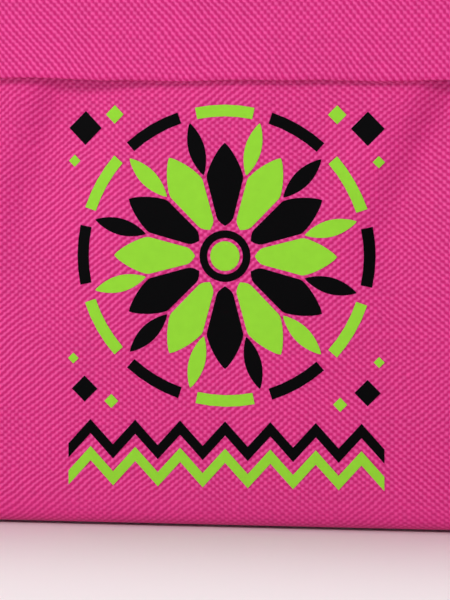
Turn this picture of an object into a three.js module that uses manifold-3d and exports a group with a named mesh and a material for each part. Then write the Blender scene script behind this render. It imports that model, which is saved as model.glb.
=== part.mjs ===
// A belt bag (bum bag) in woven polyester, standing on its base with its waist belt closed behind it.
// The front faces -Y, +X is to the right and +Z is up. The origin is the middle of the flat base.
import * as THREE from "three";
import { mergeVertices } from "three/addons/utils/BufferGeometryUtils.js";
import Module from "manifold-3d";

const wasm = await Module();
wasm.setup();

// Driving dimensions, in millimetres. The belt's fall is in degrees.
const gap = 0.3; // left between pieces that touch
const body = { width: 236, back: 37, front: -38.5, topBack: 130, topFront: 120 };
const corner = { bottom: 34, top: 26, edge: 11 }; // outline radii, and the roll of the front edge
const recess = -27; // the wall that the front pocket is sewn to
const pocket = { front: -35.7, top: 84, tongue: 105.7 }; // its face, its top edge and that edge's half-width
const flap = { edge: 82, inner: -37.5, half: 106, top: 98 }; // the fold that hides the pocket's zip
const zip = { tape: 6.5, tapeThick: 0.7, coil: 2.6, coilHigh: 1.6 }; // half-widths and heights
const slider = { length: 10, half: 3.4, plate: 1.2, post: 1.2, bar: 7, barHalf: 0.6 };
const ribbon = { width: 5, thick: 0.9, eye: 1.15, ring: 2 };
const pocketZip = { z: 90.5, half: 98 };
const mainZip = { y: -2, half: 90 };
const backZip = { z: 101, half: 76 };
const pad = { half: 84, bottom: 14, top: 92, thick: 6 };
const wing = { reach: 64, sweep: 36, bottom: 32, top: 102, thick: 5, rootY: 31 };
const belt = { width: 30, thick: 1.6, tipZ: 78, rearY: 228, straight: 31, tail: 96, fall: 19.8 };
const buckle = { width: 38, thick: 9.5, female: 36, male: 24 };
const bar = { width: 2.8, half: 1.8, bend: 1.15, slot: 15.6 }; // the buckle's bars, and the webbing's bend

// Turns a closed geometry into a solid, turned so that its faces point outwards.
function solid(geometry) {
  const bare = geometry.index ? geometry.toNonIndexed() : geometry.clone();
  bare.deleteAttribute("normal");
  bare.deleteAttribute("uv");
  const merged = mergeVertices(bare, 1e-3);
  const triVerts = new Uint32Array(merged.index.array);
  const vertProperties = merged.attributes.position.array;
  const made = new wasm.Manifold(new wasm.Mesh({ numProp: 3, vertProperties, triVerts }));
  if (made.volume() > 0) return made;
  for (let i = 0; i < triVerts.length; i += 3) {
    [triVerts[i + 1], triVerts[i + 2]] = [triVerts[i + 2], triVerts[i + 1]];
  }
  return new wasm.Manifold(new wasm.Mesh({ numProp: 3, vertProperties, triVerts }));
}

// Turns a solid back into a geometry that a mesh can hold.
function geometryOf(made) {
  const { vertProperties, triVerts } = made.getMesh();
  const geometry = new THREE.BufferGeometry();
  geometry.setAttribute("position", new THREE.BufferAttribute(new Float32Array(vertProperties), 3));
  geometry.setIndex(new THREE.BufferAttribute(new Uint32Array(triVerts), 1));
  geometry.computeVertexNormals();
  return geometry;
}

// A closed skin over a row of rings that all have the same number of points, with a fan at each end.
function loft(rings) {
  const count = rings[0].length;
  const points = rings.flat();
  const faces = [];
  rings.slice(1).forEach((_, r) => {
    for (let i = 0; i < count; i++) {
      const a = r * count + i;
      const b = r * count + ((i + 1) % count);
      faces.push(a, b, a + count, b, b + count, a + count);
    }
  });
  for (const [start, flip] of [[0, true], [(rings.length - 1) * count, false]]) {
    const ring = points.slice(start, start + count);
    const middle = ring.reduce((sum, p) => sum.clone().add(p), new THREE.Vector3()).divideScalar(count);
    const centre = points.push(middle) - 1;
    for (let i = 0; i < count; i++) {
      const [a, b] = [start + i, start + ((i + 1) % count)];
      faces.push(...(flip ? [b, a, centre] : [a, b, centre]));
    }
  }
  const geometry = new THREE.BufferGeometry().setFromPoints(points);
  geometry.setIndex(faces);
  return geometry;
}

function box(x0, x1, y0, y1, z0, z1) {
  const made = new THREE.BoxGeometry(x1 - x0, y1 - y0, z1 - z0);
  return made.translate((x0 + x1) / 2, (y0 + y1) / 2, (z0 + z1) / 2);
}

// The bag's outline from the front at depth y, drawn in from its full size by inset.
function outline(y, inset, count = 96) {
  const share = (body.back - y) / (body.back - body.front);
  const [w, top] = [body.width / 2 - inset, body.topBack + (body.topFront - body.topBack) * share - inset];
  const [rb, rt] = [corner.bottom - inset, corner.top - inset];
  const path = new THREE.Path();
  path.moveTo(0, inset).lineTo(w - rb, inset).absarc(w - rb, inset + rb, rb, -Math.PI / 2, 0);
  path.lineTo(w, top - rt).absarc(w - rt, top - rt, rt, 0, Math.PI / 2);
  path.lineTo(rt - w, top).absarc(rt - w, top - rt, rt, Math.PI / 2, Math.PI);
  path.lineTo(-w, inset + rb).absarc(rb - w, inset + rb, rb, Math.PI, 1.5 * Math.PI);
  path.lineTo(0, inset);
  return path.getSpacedPoints(count).slice(0, count).map((p) => new THREE.Vector3(p.x, y, p.y));
}

// Rings that roll from the full outline at depth y into a flat face at depth front.
function rolledFront(y, front, start) {
  return [0, 18, 36, 54, 72, 90].map((degrees) => {
    const a = THREE.MathUtils.degToRad(degrees);
    return outline(y + (front - y) * Math.sin(a), start + (corner.edge - start) * (1 - Math.cos(a)));
  });
}

// The stuffed main compartment.
function mainCompartment() {
  const rings = [outline(body.back, 5), outline(body.back - 1, 2.5), outline(body.back - 3, 0.6)];
  rings.push(outline(body.back - 5, 0), outline(recess, 0));
  return solid(loft(rings));
}

// The front above the pocket. Its lower edge is the flap, with the hollow for the pocket's zip behind it.
function frontPanel() {
  const reach = body.width;
  const rings = rolledFront(recess - gap, body.front, 0);
  const low = solid(box(-reach, reach, body.front - 5, recess + 5, -20, flap.edge));
  const hollow = solid(box(-flap.half, flap.half, flap.inner, recess + 5, flap.edge - 5, flap.top));
  return solid(loft(rings)).subtract(low).subtract(hollow);
}

// The front pocket, whose top edge is tucked up behind the flap.
function frontPocket() {
  const rings = rolledFront(recess - gap, pocket.front, gap);
  const reach = body.width;
  const low = solid(box(-reach, reach, body.front, recess, -20, flap.edge - gap));
  const tongue = solid(box(-pocket.tongue, pocket.tongue, body.front, recess, flap.edge - 5, pocket.top));
  return solid(loft(rings)).intersect(low.add(tongue));
}

// The padded panel on the wearer's side, which is also the rear pocket's face.
function backPad() {
  const shape = new THREE.Shape();
  const [w, r] = [pad.half, 18];
  shape.moveTo(r - w, pad.bottom).lineTo(w - r, pad.bottom);
  shape.absarc(w - r, pad.bottom + r, r, -Math.PI / 2, 0).lineTo(w, pad.top - 6);
  shape.absarc(w - 6, pad.top - 6, 6, 0, Math.PI / 2).lineTo(6 - w, pad.top);
  shape.absarc(6 - w, pad.top - 6, 6, Math.PI / 2, Math.PI).lineTo(-w, pad.bottom + r);
  shape.absarc(r - w, pad.bottom + r, r, Math.PI, 1.5 * Math.PI);
  const options = { depth: pad.thick - 4, bevelSize: 2, bevelThickness: 2, bevelOffset: -2, bevelSegments: 2 };
  const made = new THREE.ExtrudeGeometry(shape, { ...options, curveSegments: 6, steps: 1 });
  made.rotateX(Math.PI / 2);
  return solid(made.translate(0, body.back + gap + pad.thick - 2, 0));
}

// The bound seam round the back panel, as a round cord that follows the outline.
function backBinding() {
  const path = outline(body.back, 3, 48);
  const centre = new THREE.Vector3(0, 0, body.topBack / 2);
  const radius = 1.5;
  const rings = path.map((p, i) => {
    const [before, after] = [path.at(i - 1), path[(i + 1) % path.length]];
    const along = after.clone().sub(before).normalize();
    const out = new THREE.Vector3(along.z, 0, -along.x);
    if (out.dot(p.clone().sub(centre)) < 0) out.negate();
    return [0, 60, 120, 180, 240, 300].map((degrees) => {
      const a = THREE.MathUtils.degToRad(degrees);
      const ring = p.clone().addScaledVector(out, radius * Math.cos(a));
      ring.y += gap + radius + radius * Math.sin(a);
      return ring;
    });
  });
  const count = rings[0].length;
  const faces = [];
  rings.forEach((_, r) => {
    for (let i = 0; i < count; i++) {
      const next = ((r + 1) % rings.length) * count;
      const [a, b] = [r * count + i, r * count + ((i + 1) % count)];
      faces.push(a, b, next + i, b, next + ((i + 1) % count), next + i);
    }
  });
  const geometry = new THREE.BufferGeometry().setFromPoints(rings.flat());
  geometry.setIndex(faces);
  return solid(geometry);
}

// Each zip is drawn in its own frame: x along it, -y out of the fabric and -z the way its ribbon hangs.
function zipTape(half) {
  const tape = box(-half, half, -gap - zip.tapeThick, -gap, -zip.tape, zip.tape);
  const coilOut = -gap - zip.tapeThick - zip.coilHigh;
  const coil = box(-half + 2, half - 2, coilOut, -gap - zip.tapeThick / 2, -zip.coil, zip.coil);
  return solid(tape).add(solid(coil));
}

// The slider's top plate with the bridge that its ribbon is looped on.
function zipSlider() {
  const under = gap + zip.tapeThick + zip.coilHigh + 0.4;
  const { length, half, plate, post, bar, barHalf } = slider;
  const outlineOf = new THREE.Shape();
  outlineOf.moveTo(-length / 2, -half * 0.6).lineTo(-length / 6, -half).lineTo(length / 2, -half);
  outlineOf.lineTo(length / 2, half).lineTo(-length / 6, half).lineTo(-length / 2, half * 0.6);
  const top = new THREE.ExtrudeGeometry(outlineOf, { depth: plate, bevelEnabled: false });
  top.rotateX(Math.PI / 2);
  top.translate(0, -under, 0);
  const beam = box(-4, 4, -bar - barHalf, -bar + barHalf, -barHalf, barHalf);
  const legs = [-4, 4 - post].map((x) => box(x, x + post, -bar, -under - plate / 2, -barHalf, barHalf));
  return legs.reduce((sum, leg) => sum.add(solid(leg)), solid(top).add(solid(beam)));
}

// A ribbon looped round the slider's bar, whose tail runs through the given points of (out, down).
function zipRibbon(tail) {
  const shape = new THREE.Shape();
  const half = ribbon.thick / 2;
  const points = tail.map(([out, down]) => new THREE.Vector2(out - slider.bar, -down));
  const sides = [1, -1].map((sign) =>
    points.map((p, i) => {
      const [a, b] = [points[Math.max(i - 1, 0)], points[Math.min(i + 1, points.length - 1)]];
      const along = b.clone().sub(a).normalize();
      return p.clone().add(new THREE.Vector2(-along.y, along.x).multiplyScalar(sign * half));
    }),
  );
  const loop = [...sides[0], ...sides[1].reverse()];
  shape.setFromPoints(loop);
  const strip = new THREE.ExtrudeGeometry(shape, { depth: ribbon.width, bevelEnabled: false });
  const ring = new THREE.Shape().absarc(0, 0, ribbon.ring, 0, 2 * Math.PI);
  ring.holes.push(new THREE.Path().absarc(0, 0, ribbon.eye, 0, 2 * Math.PI, true));
  const eye = new THREE.ExtrudeGeometry(ring, { depth: ribbon.width, bevelEnabled: false, curveSegments: 8 });
  const core = new THREE.CylinderGeometry(ribbon.eye, ribbon.eye, ribbon.width * 2, 16);
  core.rotateX(Math.PI / 2);
  const made = solid(strip).subtract(solid(core)).add(solid(eye));
  const turned = new THREE.Matrix4().makeBasis(
    new THREE.Vector3(0, -1, 0), new THREE.Vector3(0, 0, 1), new THREE.Vector3(-1, 0, 0));
  const geometry = geometryOf(made).applyMatrix4(turned);
  return geometry.translate(ribbon.width / 2, -slider.bar, 0);
}

// The closed belt lies in a plane that slopes down until the buckle rests on the floor behind the bag.
const tip = { x: body.width / 2 + wing.reach, y: wing.rootY + wing.sweep };
const slope = THREE.MathUtils.degToRad(belt.fall);
const across = new THREE.Vector3(0, Math.sin(slope), Math.cos(slope));

function beltPoint(x, y) {
  return new THREE.Vector3(x, y, belt.tipZ - (y - tip.y) * Math.tan(slope));
}

// Its centre line runs from the left wing's tip round to the right one, straight through the buckle.
const sweepOut = [[tip.x, tip.y], [tip.x + 44, tip.y + 62], [138, belt.rearY], [belt.straight, belt.rearY]];
const [outLeft, outRight] = [-1, 1].map((sign) => sweepOut.map(([x, y]) => beltPoint(sign * x, y)));
const beltCurve = new THREE.CurvePath();
beltCurve.add(new THREE.CubicBezierCurve3(...outLeft));
beltCurve.add(new THREE.LineCurve3(outLeft[3], outRight[3]));
beltCurve.add(new THREE.CubicBezierCurve3(...outRight.reverse()));
const beltLength = beltCurve.getLength();

// The place at a distance along the belt and an offset outwards from its centre line.
function beltPlace(distance, offset = 0) {
  const t = distance / beltLength;
  const out = new THREE.Vector3().crossVectors(across, beltCurve.getTangent(t)).normalize();
  return beltCurve.getPoint(t).addScaledVector(out, offset);
}

// A flat webbing strip through a row of [distance, offset] places.
function webbing(places) {
  const points = places.map(([distance, offset]) => beltPlace(distance, offset));
  const rings = points.map((p, i) => {
    const along = points[Math.min(i + 1, points.length - 1)].clone().sub(points[Math.max(i - 1, 0)]);
    const out = new THREE.Vector3().crossVectors(across, along).normalize();
    const corners = [[-1, -1], [1, -1], [1, 1], [-1, 1]];
    return corners.map(([t, w]) => p.clone()
      .addScaledVector(out, (t * belt.thick) / 2)
      .addScaledVector(across, (w * belt.width) / 2));
  });
  return solid(loft(rings));
}

// Evenly spaced places along the belt at one offset.
function run(from, to, offset, steps) {
  return Array.from({ length: steps + 1 }, (_, i) => [from + ((to - from) * i) / steps, offset]);
}

// The places of a fold round a buckle's bar. start is the bar's near face and sign the way into the buckle.
function fold(start, sign) {
  const high = bar.half + bar.bend;
  const near = [[-12, 0], [-7, 0.9], [-2, high], [bar.width / 2, high]];
  const turn = [67, 45, 22, 0].map((degrees) => {
    const a = THREE.MathUtils.degToRad(degrees);
    return [bar.width + bar.bend * Math.cos(a), bar.half + bar.bend * Math.sin(a)];
  });
  const far = [...turn].reverse().map(([d, n]) => [d, -n]);
  const back = [[bar.width / 2, -high], [-2, -high], [-7, -belt.thick - gap - 0.4], [-12, -belt.thick - gap]];
  return [...near, ...turn, ...far, ...back].map(([d, n]) => [start + sign * d, n]);
}

// A padded wing from the bag's side to the belt's end. sign is -1 on the left and 1 on the right.
function wingSolid(sign) {
  const rings = [];
  const steps = 8;
  const end = beltPoint(sign * tip.x, tip.y);
  const start = new THREE.Vector3(sign * (body.width / 2 + gap), wing.rootY, (wing.bottom + wing.top) / 2);
  for (let i = 0; i <= steps; i++) {
    const u = i / steps;
    const middle = new THREE.Vector3(
      start.x + sign * (wing.reach - gap) * u, wing.rootY + wing.sweep * u ** 1.7, start.z + (end.z - start.z) * u);
    const half = THREE.MathUtils.lerp((wing.top - wing.bottom) / 2, belt.width / 2 + 1.5, u ** 0.8);
    const up = new THREE.Vector3(0, 0, 1).lerp(across, u).normalize();
    const along = new THREE.Vector3(sign * wing.reach, wing.sweep * 1.7 * u ** 0.7, 0).normalize();
    const out = new THREE.Vector3().crossVectors(up, along).normalize();
    if (u === 0) out.set(0, sign, 0);
    const thick = THREE.MathUtils.lerp(wing.thick, 3.6, u) / 2;
    const section = [[-1, 0.86], [-0.72, 1], [0.72, 1], [1, 0.86], [1, -0.86], [0.72, -1], [-0.72, -1], [-1, -0.86]];
    rings.push(section.map(([t, w]) => middle.clone().addScaledVector(out, t * thick).addScaledVector(up, w * half)));
  }
  return solid(loft(rings));
}

// The buckle is drawn flat: x along the belt, y across its width and z through its thickness.
function plateOf(points, depth) {
  const shape = new THREE.Shape(points.map(([x, y]) => new THREE.Vector2(x, y)));
  const made = new THREE.ExtrudeGeometry(shape, { depth, bevelEnabled: false });
  return made.translate(0, 0, -depth / 2);
}

// Thins a bar to its half-height over a stretch of x, so that the webbing can fold round it.
function thinned(shape, x0, x1) {
  const t = buckle.thick;
  return shape.subtract(solid(box(x0, x1, -bar.slot, bar.slot, bar.half, t)))
    .subtract(solid(box(x0, x1, -bar.slot, bar.slot, -t, -bar.half)));
}

function slotAt(x0, x1) {
  return solid(box(x0, x1, -bar.slot, bar.slot, -buckle.thick, buckle.thick));
}

function buckleFemale() {
  const [w, l, t] = [buckle.width / 2, buckle.female, buckle.thick];
  const rim = [[0, 6 - w], [4, 1 - w], [12, -w], [l - 3, 1 - w], [l, 3 - w]];
  const shell = solid(plateOf([...rim, ...rim.map(([x, y]) => [x, -y]).reverse()], t));
  const cavity = solid(box(9, l + 5, -13.4, 13.4, -2.9, 2.9));
  const windows = solid(box(13, 27, -w - 5, w + 5, -2.9, 2.9));
  const open = shell.subtract(cavity).subtract(windows).subtract(slotAt(bar.width, 6));
  return thinned(open, -1, bar.width);
}

// The prongs, with a body whose end bar and middle bar hold the belt's adjustable end.
function buckleMale() {
  const w = buckle.width / 2;
  const start = buckle.female + gap;
  const end = start + buckle.male;
  const rim = [[start, 3 - w], [start + 2, 1 - w], [end - 3, 1 - w], [end, 4 - w]];
  const frame = solid(plateOf([...rim, ...rim.map(([x, y]) => [x, -y]).reverse()], 7));
  const tongue = [[10.5, -1.5], [12, -2.4], [start + 1, -2.4], [start + 1, 2.4], [12, 2.4], [10.5, 1.5]];
  const arm = [[start + 1, 7], [start + 1, 12.4], [26, 12.6], [24.6, 17.2], [19, 17.8], [14, 15.8], [13.4, 12.6],
    [16, 11.4], [22, 9.6]];
  const arms = [1, -1].map((sign) => solid(plateOf(arm.map(([x, y]) => [x, sign * y]), 5)));
  const open = thinned(frame, end - 12, end + 1).subtract(slotAt(end - 16.5, end - 12));
  const cut = open.subtract(slotAt(end - 12 + bar.width, end - 3));
  return arms.reduce((sum, piece) => sum.add(piece), cut.add(solid(plateOf(tongue, 5))));
}

// The elastic loop that holds the belt's spare end.
function keeperSolid() {
  const [w, t] = [belt.width / 2 + 0.6, belt.thick + 0.5];
  const outer = solid(box(-4, 4, -w - 1.4, w + 1.4, -t / 2 - 1.6, t / 2 + belt.thick + 2));
  const inner = solid(box(-8, 8, -w, w, -t / 2 - 0.4, t / 2 + belt.thick + 0.8));
  return outer.subtract(inner);
}

// A frame on the belt between two distances along it: x along, y across and z out of the loop.
function beltFrame(from, to) {
  const along = beltPlace(to).sub(beltPlace(from)).normalize();
  const out = new THREE.Vector3().crossVectors(across, along).normalize();
  const made = new THREE.Group();
  made.matrix.makeBasis(along, across.clone().negate(), out).setPosition(beltPlace(from));
  made.matrix.decompose(made.position, made.quaternion, made.scale);
  return made;
}

const materials = {
  fabric: new THREE.MeshStandardMaterial({ color: 0xdc3f8c, roughness: 0.75 }),
  pocketFabric: new THREE.MeshStandardMaterial({ color: 0xd83c88, roughness: 0.75 }),
  mesh: new THREE.MeshStandardMaterial({ color: 0xc03678, roughness: 0.9 }),
  webbing: new THREE.MeshStandardMaterial({ color: 0xd13a84, roughness: 0.7 }),
  tape: new THREE.MeshStandardMaterial({ color: 0xc5307a, roughness: 0.8 }),
  plastic: new THREE.MeshStandardMaterial({ color: 0xcb2f7c, roughness: 0.4 }),
  metal: new THREE.MeshStandardMaterial({ color: 0xc9c9cc, roughness: 0.3, metalness: 1 }),
};

const bag = new THREE.Group();

function add(name, shape, material, parent = bag) {
  const geometry = shape.isBufferGeometry ? shape : geometryOf(shape);
  const mesh = new THREE.Mesh(geometry, materials[material]);
  mesh.name = name;
  parent.add(mesh);
  return mesh;
}

// A zip with its slider and ribbon, set on the bag at a place and turned about X.
function addZip(name, half, sliderX, tail, place, turn) {
  const frame = new THREE.Group();
  frame.position.copy(place);
  frame.rotation.x = turn;
  bag.add(frame);
  add(`${name}_zip`, zipTape(half), "tape", frame);
  add(`${name}_slider`, zipSlider(), "metal", frame).position.x = sliderX;
  add(`${name}_ribbon`, zipRibbon(tail), "webbing", frame).position.x = sliderX;
}

add("main_compartment", mainCompartment(), "fabric");
add("front_panel", frontPanel(), "fabric");
add("front_pocket", frontPocket(), "pocketFabric");
add("back_pad", backPad(), "mesh");
add("back_binding", backBinding(), "webbing");

const hidden = recess - (flap.inner + pocket.front) / 2; // how far out the pocket's ribbon hangs
const hiddenTail = [[slider.bar + 1.6, -0.4], [slider.bar + 1.9, 2], [hidden, 6.5], [hidden, 36]];
addZip("pocket", pocketZip.half, 8 - pocketZip.half, hiddenTail, new THREE.Vector3(0, recess, pocketZip.z), 0);

const openTail = [[slider.bar + 1.3, 0.4], [slider.bar + 0.4, 2.6], [3.2, 9], [1.6, 16], [1.4, 34]];
const topSlope = Math.atan((body.topBack - body.topFront) / (body.back - body.front));
const topZ = body.topBack - (body.back - mainZip.y) * Math.tan(topSlope);
const top = new THREE.Vector3(0, mainZip.y, topZ);
addZip("main", mainZip.half, mainZip.half - 8, openTail, top, topSlope - Math.PI / 2);

const backFrame = new THREE.Group();
backFrame.rotation.z = Math.PI;
backFrame.position.set(0, body.back, backZip.z);
bag.add(backFrame);
const backTail = [[slider.bar + 1.3, 0.4], [slider.bar + 1.6, 2.6], [slider.bar + 1.6, 34]];
add("back_zip", zipTape(backZip.half), "tape", backFrame);
add("back_slider", zipSlider(), "metal", backFrame).position.x = 8 - backZip.half;
add("back_ribbon", zipRibbon(backTail), "webbing", backFrame).position.x = 8 - backZip.half;

add("wing_left", wingSolid(-1), "fabric");
add("wing_right", wingSolid(1), "fabric");

const buckleStart = beltLength / 2 - (buckle.female + gap + buckle.male) / 2;
const buckleEnd = buckleStart + buckle.female + gap + buckle.male;
const layer = belt.thick + gap;
const beltEnd = 1.2; // left between the webbing and the wing it is sewn to
const leftFold = fold(buckleStart, 1);
const leftHem = [[buckleStart - 22, -layer], [buckleStart - 32, -layer]];
add("belt_left", webbing([...run(beltEnd, buckleStart - 16, 0, 14), ...leftFold, ...leftHem]), "webbing");

const middleBar = buckleEnd - 12 + bar.width;
const roundBar = fold(middleBar, -1).slice(3, -3).reverse();
const high = bar.half + bar.bend;
const intoBar = [[buckleEnd + 12, 0], [buckleEnd + 7, -0.9], [buckleEnd + 2, -high], [buckleEnd - 3, -high]];
const outOfBar = [[buckleEnd - 3, high], [buckleEnd + 2, high], [buckleEnd + 7, high - 0.4]];
const spareEnd = buckleEnd + 14 + belt.tail;
const spare = run(buckleEnd + 14, spareEnd, layer, 10);
const toWing = run(beltLength - beltEnd, buckleEnd + 16, 0, 14);
add("belt_right", webbing([...toWing, ...intoBar, ...roundBar, ...outOfBar, ...spare]), "webbing");

const buckleFrame = beltFrame(buckleStart, buckleEnd);
bag.add(buckleFrame);
add("buckle_female", buckleFemale(), "plastic", buckleFrame);
add("buckle_male", buckleMale(), "plastic", buckleFrame);

const keeperFrame = beltFrame(spareEnd - 26, spareEnd - 18);
bag.add(keeperFrame);
add("belt_keeper", keeperSolid(), "webbing", keeperFrame);

export default bag;
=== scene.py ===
import math
from types import SimpleNamespace

import bmesh
import bpy
from mathutils import Matrix, Vector, noise


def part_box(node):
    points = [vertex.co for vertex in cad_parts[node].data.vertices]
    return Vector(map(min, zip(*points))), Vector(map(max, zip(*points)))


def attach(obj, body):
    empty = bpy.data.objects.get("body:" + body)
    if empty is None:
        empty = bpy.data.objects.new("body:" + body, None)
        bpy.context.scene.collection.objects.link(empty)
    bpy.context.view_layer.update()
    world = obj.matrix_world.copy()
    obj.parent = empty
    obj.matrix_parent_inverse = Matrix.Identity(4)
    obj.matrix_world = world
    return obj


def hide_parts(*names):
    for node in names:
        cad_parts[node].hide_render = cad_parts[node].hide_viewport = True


bl_info = {
    "name": "Belt bag",
    "version": (1, 0, 0),
    "blender": (4, 5, 0),
    "location": "View3D > Sidebar > Belt bag",
    "description": "Dresses a belt bag's solids with cloth, zips, webbing, a buckle and a printed pattern",
    "category": "Object",
}

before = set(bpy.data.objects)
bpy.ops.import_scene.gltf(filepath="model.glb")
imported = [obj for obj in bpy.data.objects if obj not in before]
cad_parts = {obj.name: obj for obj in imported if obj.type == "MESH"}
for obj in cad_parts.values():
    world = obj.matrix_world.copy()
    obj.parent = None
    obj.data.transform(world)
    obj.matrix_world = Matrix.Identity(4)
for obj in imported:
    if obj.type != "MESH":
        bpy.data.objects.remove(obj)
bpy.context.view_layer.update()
MAIN_LOW, MAIN_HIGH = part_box("main_compartment")
POCKET_LOW, POCKET_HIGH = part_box("front_pocket")
FLAP_LOW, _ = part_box("front_panel")
CLOTH_MAP = "cloth"

# Outline of the bag, in steps: at each corner, then along the right side, top, left side and base.
ARC_STEPS = 14
STRAIGHT_STEPS = (28, 150, 28, 150)
TOP_BACK, TOP_FRONT = 130.0, 120.0  # heights of the top's edges in millimetres
ROLL_FULLNESS = 4.8  # 2 rolls the front's edges over in an ellipse, and more makes them fuller
PUFF_FRAMES = 20

# Lights: name, place in metres, width in metres, and the setting that holds the power.
LIGHTS = (
    ("key", (-0.55, -0.98, 0.6), 0.36, "key_power"),
    ("low_front", (-0.3, -1.05, 0.05), 0.3, "fill_power"),
    ("top", (0.15, 0.2, 1.1), 0.9, "top_power"),
    ("rear", (0.6, 1.1, 0.6), 0.8, "rear_power"),
)
LIGHTS_MIDDLE = (0, 0, 0.05)  # what the lights point at, in metres
VIEW_MIDDLE = (0, -0.036, 0.0422)
VIEW_HEIGHT = 0.109  # what the camera sees of the bag from top to bottom, in metres
CAMERA_RISE = 0.0394  # of the camera above the middle of its view
SENSOR = 36  # width of the camera's sensor in millimetres

# Dents in the pocket's cloth: depth, place, size and lean, in millimetres.
POCKET_DENTS = (
    (0.34, (-24, 79.5), (6.5, 3.2), 0), (0.25, (14, 74), (4.0, 8.0), -0.35), (0.6, (-72, 70), (9, 12), 0.5),
    (0.6, (80, 66), (10, 12), -0.5), (0.5, (-95, 24), (8, 7), 1.0), (0.5, (96, 22), (8, 7), -1.0),
    (0.35, (58, 78), (7, 4), 0),
)
# Folds in the pocket's cloth: depth, upper and lower end, and widths to the left and right.
POCKET_FOLDS = (
    (2.8, (42.5, 82), (29, 54), 2.7, 7.0), (-0.5, (30, 74), (19, 56), 2.5, 2.5),
    (2.3, (-30, 79), (-38, 54), 3.4, 7.5), (0.7, (-60, 84), (-66, 52), 3.5, 3.5),
    (0.9, (72, 84), (60, 50), 3.6, 3.6),
)
FLAP_DENTS = (
    (0.5, (70, 100), (12, 8), 0.8), (0.5, (-78, 102), (12, 7), -0.8), (0.35, (-24, 97), (7, 3), 0),
    (0.3, (7, 98), (6, 3), 0),
)
RELIEF_FADE = 9.0  # length of rolled cloth over which the front's dents run out
SEAM_GAP = 0.3  # between the front's cloth and the wall behind it
MEDIAL_INSET = 34  # from the front's ends to the line in its middle on which its rows close up
INK_LIFT = 0.09  # of the printed pattern above the cloth


class BagSizes(bpy.types.PropertyGroup):
    """Sizes of the bag's cloth parts. Their defaults come from the solids."""

    width: bpy.props.FloatProperty(
        name="Width", description="Width of the bag between its sides",
        default=MAIN_HIGH.x - MAIN_LOW.x, unit="LENGTH")
    edge_roll: bpy.props.FloatProperty(
        name="Edge roll", description="How far the front's edges roll over to the sides",
        default=0.011, unit="LENGTH")
    low_corner: bpy.props.FloatProperty(
        name="Lower corners", description="Radius of the lower corners seen from the front",
        default=0.034, unit="LENGTH")
    high_corner: bpy.props.FloatProperty(
        name="Upper corners", description="Radius of the upper corners seen from the front",
        default=0.026, unit="LENGTH")
    fold: bpy.props.FloatProperty(
        name="Flap fold", description="Radius of the folded lower edge of the flap",
        default=0.00072, unit="LENGTH")
    side_bow: bpy.props.FloatProperty(
        name="Side bow", description="How far the stuffed sides bow outwards",
        default=0.0016, unit="LENGTH")


class ClothLooks(bpy.types.PropertyGroup):
    """Colours and yarn pitches of the cloths."""

    # The raised yarns' colour is the cloth's pink with a painted highlight, as the yarns on top catch the
    # light.
    light: bpy.props.FloatVectorProperty(
        name="Raised yarns", description="Colour of the yarns that lie on top",
        default=(0.765, 0.067, 0.308), size=3, subtype="COLOR")
    # The sunken yarns' colour is the cloth's pink with painted shade, as the yarns below lie in shade.
    dark: bpy.props.FloatVectorProperty(
        name="Sunken yarns", description="Colour of the yarns that pass below",
        default=(0.51, 0.0065, 0.140), size=3, subtype="COLOR")
    across: bpy.props.FloatProperty(
        name="Pitch across", description="Distance between upright yarns",
        default=0.00075, unit="LENGTH", precision=5)
    along: bpy.props.FloatProperty(
        name="Pitch upwards", description="Distance between level yarns",
        default=0.00062, unit="LENGTH", precision=5)
    webbing: bpy.props.FloatVectorProperty(
        name="Webbing", description="Colour of the belt, bindings and ribbons",
        default=(0.62, 0.035, 0.22), size=3, subtype="COLOR")
    ink: bpy.props.FloatVectorProperty(
        name="Dark ink", description="Darker colour of the printed pattern",
        default=(0.0015, 0.0015, 0.0018), size=3, subtype="COLOR")
    bright_ink: bpy.props.FloatVectorProperty(
        name="Bright ink", description="Brighter colour of the printed pattern",
        default=(0.255, 0.61, 0.035), size=3, subtype="COLOR")
    plastic: bpy.props.FloatVectorProperty(
        name="Buckle", description="Colour of the moulded buckle",
        default=(0.5, 0.022, 0.16), size=3, subtype="COLOR")


class StageLooks(bpy.types.PropertyGroup):
    """The camera and the lights."""

    distance: bpy.props.FloatProperty(
        name="Camera distance", description="From the camera to the middle of the view",
        default=0.6, unit="LENGTH")
    turn: bpy.props.FloatProperty(
        name="Camera turn", description="How far the camera stands to the bag's right",
        default=math.radians(10), subtype="ANGLE")
    key_power: bpy.props.FloatProperty(
        name="Key light", description="Power of the light above and to the left of the front", default=8.0)
    fill_power: bpy.props.FloatProperty(
        name="Fill light", description="Power of the weaker light low in front", default=3.2)
    top_power: bpy.props.FloatProperty(
        name="Top light", description="Power of the large light overhead", default=7.4)
    rear_power: bpy.props.FloatProperty(
        name="Rear light", description="Power of the light behind the bag", default=8.0)


def bag_shape():
    """The sizes that the cloth parts share, in millimetres."""
    sizes = bpy.context.scene.belt_bag_sizes
    return SimpleNamespace(
        width=sizes.width * 1000, edge=sizes.edge_roll * 1000,
        low=sizes.low_corner * 1000, high=sizes.high_corner * 1000,
        fold=sizes.fold * 1000, bow=sizes.side_bow * 1000,
        back=MAIN_HIGH.y * 1000, wall=MAIN_LOW.y * 1000, front=FLAP_LOW.y * 1000,
        pocket=POCKET_LOW.y * 1000, top_back=TOP_BACK, top_front=TOP_FRONT,
        flap_edge=FLAP_LOW.z * 1000, tongue_top=POCKET_HIGH.z * 1000)


# Shader trees

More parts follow.
